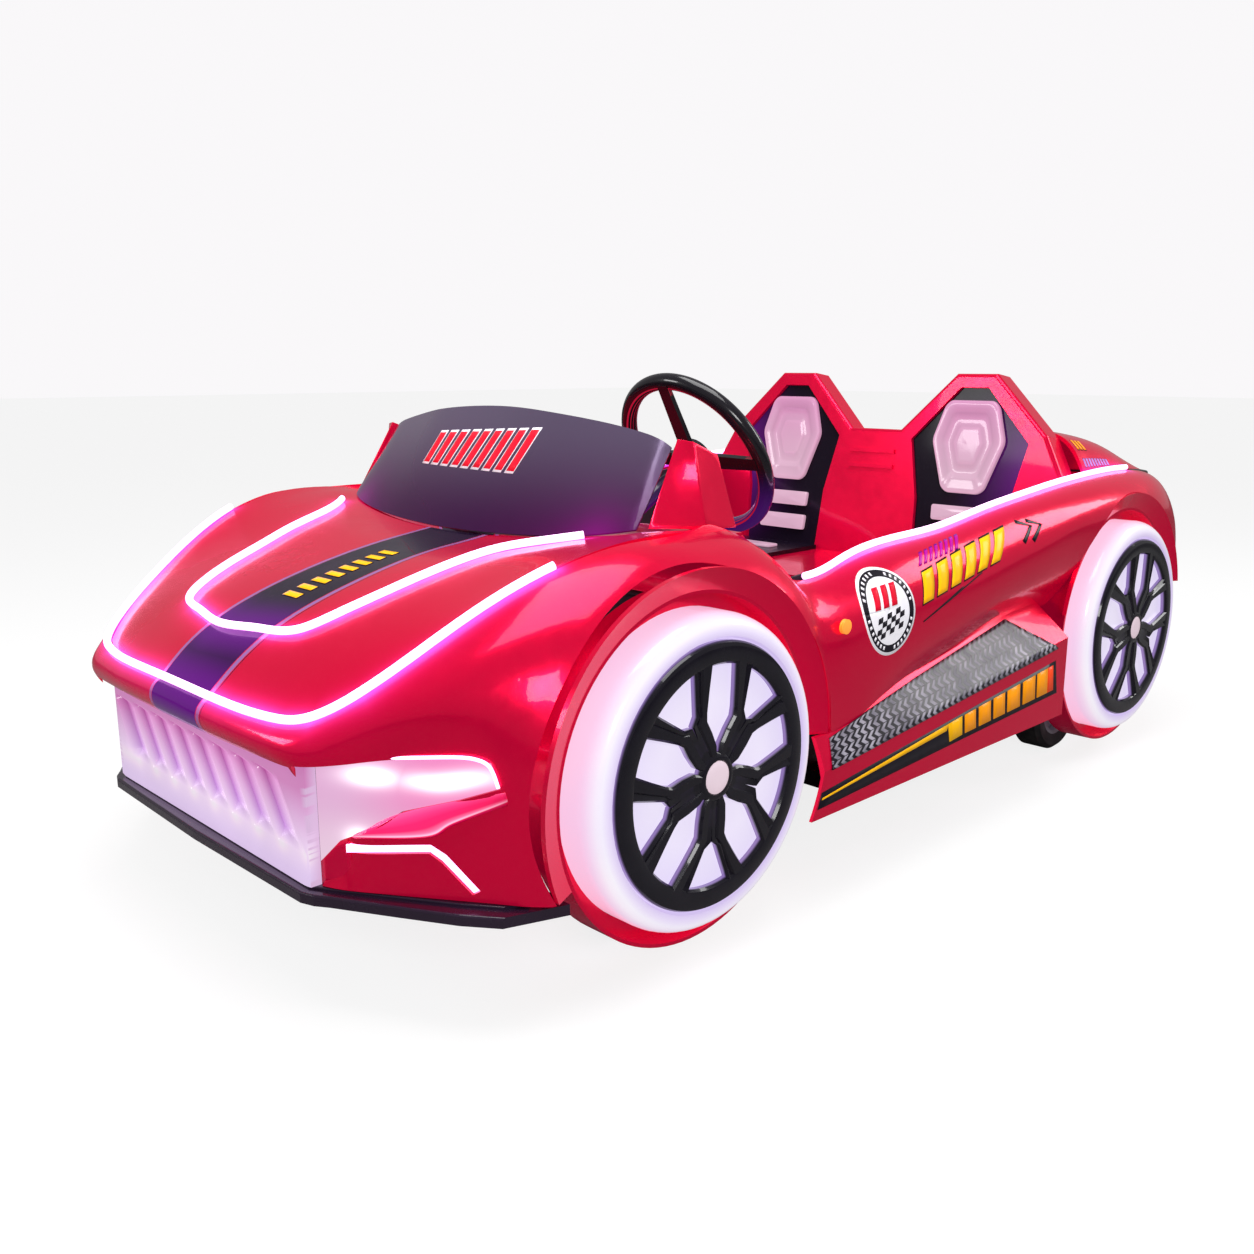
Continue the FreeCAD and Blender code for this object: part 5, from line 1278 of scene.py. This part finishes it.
class STEPS_OT_ride_car_steps(bpy.types.Operator):
    """Covers the steps with woven plates, from the sill's edge to the crease under the door"""
    bl_idname = "ride_car.steps"
    bl_label = "Steps"

    def execute(self, context):
        # each cross line runs straight from the outer edge to the same share of the inner edge
        share = np.linspace(0, 1, 60)
        along, up = STEP_CREASE.T
        run = (along - along[0]) / (along[-1] - along[0])
        top = np.stack([np.interp(share, run, along), np.interp(share, run, up)], axis=-1)
        foot = np.array(STEP_FOOT) + share[:, None] * STEP_RUN
        down = np.linspace(0, 1, 14)[:, None, None]
        flat = top * (1 - down) + foot * down
        # the weave is told how far along and across each point is
        weave = np.stack([flat[..., 0], STEP_WIDTH * down[..., 0] + 0 * flat[..., 0],
                          0 * flat[..., 0]], axis=-1)
        for side, word in ((1, "left"), (-1, "right")):
            marks = Marks("x", side, DOOR_OUT)
            marks.film(flat, weave)
            made = marks.lay(f"step_cover_{word}", f"{word}_side_body", 0.0030, 0.0026,
                             "woven_step", "step_pattern")
            if side > 0:
                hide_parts("step_plates")
        return {"FINISHED"}


# ---------------------------------------------------------------- seats
# the cushion line that the seats' backs are tilted about, along and up, and their tilt
SEAT_FOOT, SEAT_TILT = (0.526, 0.372), np.radians(8)
# each seat's middle across the car, and the height of its back above the cushion line
SEAT_MIDDLE, RISE = 0.232, 0.40595
# half of a pad's outline, and its middle, across and up
PAD_HALF = [(0.050, RISE - 0.056), (0.062, RISE - 0.068), (0.084, RISE - 0.140),
            (0.050, RISE - 0.240), (0.036, RISE - 0.250)]
PAD_MIDDLE = np.array((0, RISE - 0.148))
# (share of the outline, depth behind the seat's face, brightness), from the back edge to the
# middle;
# the brightness is painted light and shade on each facet
PAD_STEPS = np.array([(0.97, 0.0072, 0.6), (1.0, 0.0060, 0.7), (1.0, 0.0000, 0.8),
                      (0.985, -0.0030, 1.0), (0.95, -0.0046, 1.0), (0.90, -0.0048, 0.9),
                      (0.74, -0.0024, 0.82), (0.71, -0.0014, 0.78), (0.60, 0.0030, 0.95),
                      (0.57, 0.0034, 0.9), (0.42, 0.0022, 0.84), (0.38, 0.0010, 0.95),
                      (0.30, 0.0008, 0.9), (0.001, 0.0008, 0.88)])
BAR_STEPS = np.array([(0.98, 0.0072, 0.6), (1, 0.0060, 0.7), (1, -0.0008, 0.85),
                      (0.985, -0.0024, 1.0), (0.95, -0.0028, 0.95), (0.001, -0.0028, 0.9)])
# the same for the bar in the cushion, with its height instead of its depth
CUSHION_STEPS = np.array([(0.98, 0.3824, 0.6), (1, 0.3834, 0.7), (1, 0.3868, 0.9),
                          (0.97, 0.3880, 1.0), (0.001, 0.3880, 0.9)])


def bar_outline(half_low, half_high, low, high):
    """A bar with rounded corners, across and up, and its middle."""
    loop = rounded_loop([(half_high, high), (half_low, low), (-half_low, low), (-half_high, high)],
                        0.006, 4)
    return loop, loop.mean(axis=0)


def nested(loop, middle, shares):
    """An outline drawn in towards a middle by each of some shares."""
    return middle + (loop - middle) * shares[:, None, None]


def on_seat(across, depth, up):
    """A place on an upright seat back, moved to the car: tilted back about the cushion line."""
    return np.stack([across,
                     SEAT_FOOT[0] + depth * np.cos(SEAT_TILT) + up * np.sin(SEAT_TILT),
                     SEAT_FOOT[1] - depth * np.sin(SEAT_TILT) + up * np.cos(SEAT_TILT)], axis=-1)


class SEATS_OT_ride_car_pads(bpy.types.Operator):
    """Builds the lit seat pads with their nested facets, and the bars below them"""
    bl_idname = "ride_car.pads"
    bl_label = "Seat pads"

    def execute(self, context):
        pads = Shell()
        for middle in (SEAT_MIDDLE, -SEAT_MIDDLE):
            self.pad(pads, middle)
            for low, high in ((0.096, 0.129), (0.040, 0.075)):
                share, depth, light = BAR_STEPS.T[..., None]
                across, up = np.moveaxis(nested(*bar_outline(0.064, 0.066, low, high),
                                                share[:, 0]), -1, 0)
                self.add_lit(pads, on_seat(middle + across, depth + 0 * up, up), up, light)
            share, height, light = CUSHION_STEPS.T[..., None]
            across, along = np.moveaxis(nested(*bar_outline(0.064, 0.064, 0.442, 0.408),
                                               share[:, 0]), -1, 0)
            grid = np.stack([middle + across, along, height + 0 * along], axis=-1)
            self.add_lit(pads, grid, 0.05 + 0 * along, light)
        made = pads.piece("seat_pad_lenses", "lit_pad", "lit_white", 24)
        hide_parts("seat_pads")
        return {"FINISHED"}

    def pad(self, pads, middle):
        """A six-sided pad whose outline steps in to its middle, with a ridge across its foot."""
        loop = rounded_loop(PAD_HALF + [(-x, up) for x, up in reversed(PAD_HALF)], 0.012, 6)
        share, depth, light = PAD_STEPS.T[..., None]
        across, up = np.moveaxis(nested(loop, PAD_MIDDLE, share[:, 0]), -1, 0)
        # the ridge is raised and given a painted highlight
        ridge = (np.exp(-((up - (RISE - 0.218)) / 0.004) ** 2)
                 * np.clip((0.040 - np.abs(across)) / 0.006, 0, 1))
        depth = depth - 0.002 * ridge * (share < 0.95)
        self.add_lit(pads, on_seat(middle + across, depth, up), up, light + 0.15 * ridge)

    @staticmethod
    def add_lit(shell, grid, up, light):
        """Adds a pad closed at its back, pinker towards its top, with painted light and shade:
        brighter on its crests, darker on its back edges.
        """
        tall = rising(up, RISE - 0.20, RISE - 0.06)
        colour = mixed(tall, (0.96, 0.52, 0.74), (0.96, 0.32, 0.68)) * (light + 0 * up)[..., None]
        shell.add_closed(grid, ink=np.clip(colour, 0, 1))


# ---------------------------------------------------------------- panel and run
class VIEW3D_PT_ride_car(bpy.types.Panel):
    """Lists the steps and their sizes"""
    bl_idname = "VIEW3D_PT_ride_car"
    bl_label = "Ride-on car"
    bl_space_type = "VIEW_3D"
    bl_region_type = "UI"
    bl_category = "Ride-on car"

    def draw(self, context):
        for step in STEPS:
            self.layout.operator(step.bl_idname)
        for name in SETTINGS:
            box = self.layout.box()
            group = getattr(context.scene, name)
            for key in group.bl_rna.properties.keys():
                if key not in ("rna_type", "name"):
                    box.prop(group, key)


STEPS = [STAGE_OT_ride_car_stage, PAINT_OT_ride_car_finishes, WHEELS_OT_ride_car_wheels,
         NOSE_OT_ride_car_grille, BODY_OT_ride_car_seals, MARKS_OT_ride_car_marks,
         STEPS_OT_ride_car_steps, SEATS_OT_ride_car_pads]
SETTINGS = {"ride_car_paint": RideCarPaint, "ride_car_lights": RideCarLights,
            "ride_car_wheels": RideCarWheels, "ride_car_stage": RideCarStage}


def register():
    for part in (*SETTINGS.values(), *STEPS, VIEW3D_PT_ride_car):
        bpy.utils.register_class(part)
    for name, group in SETTINGS.items():
        setattr(bpy.types.Scene, name, bpy.props.PointerProperty(type=group))


def unregister():
    for name in SETTINGS:
        delattr(bpy.types.Scene, name)
    for part in (VIEW3D_PT_ride_car, *reversed(STEPS), *reversed(SETTINGS.values())):
        bpy.utils.unregister_class(part)


def main():
    """Runs the steps in order."""
    register()
    for step in STEPS:
        module, name = step.bl_idname.split(".")
        getattr(getattr(bpy.ops, module), name)()


if __name__ == "__main__":
    main()
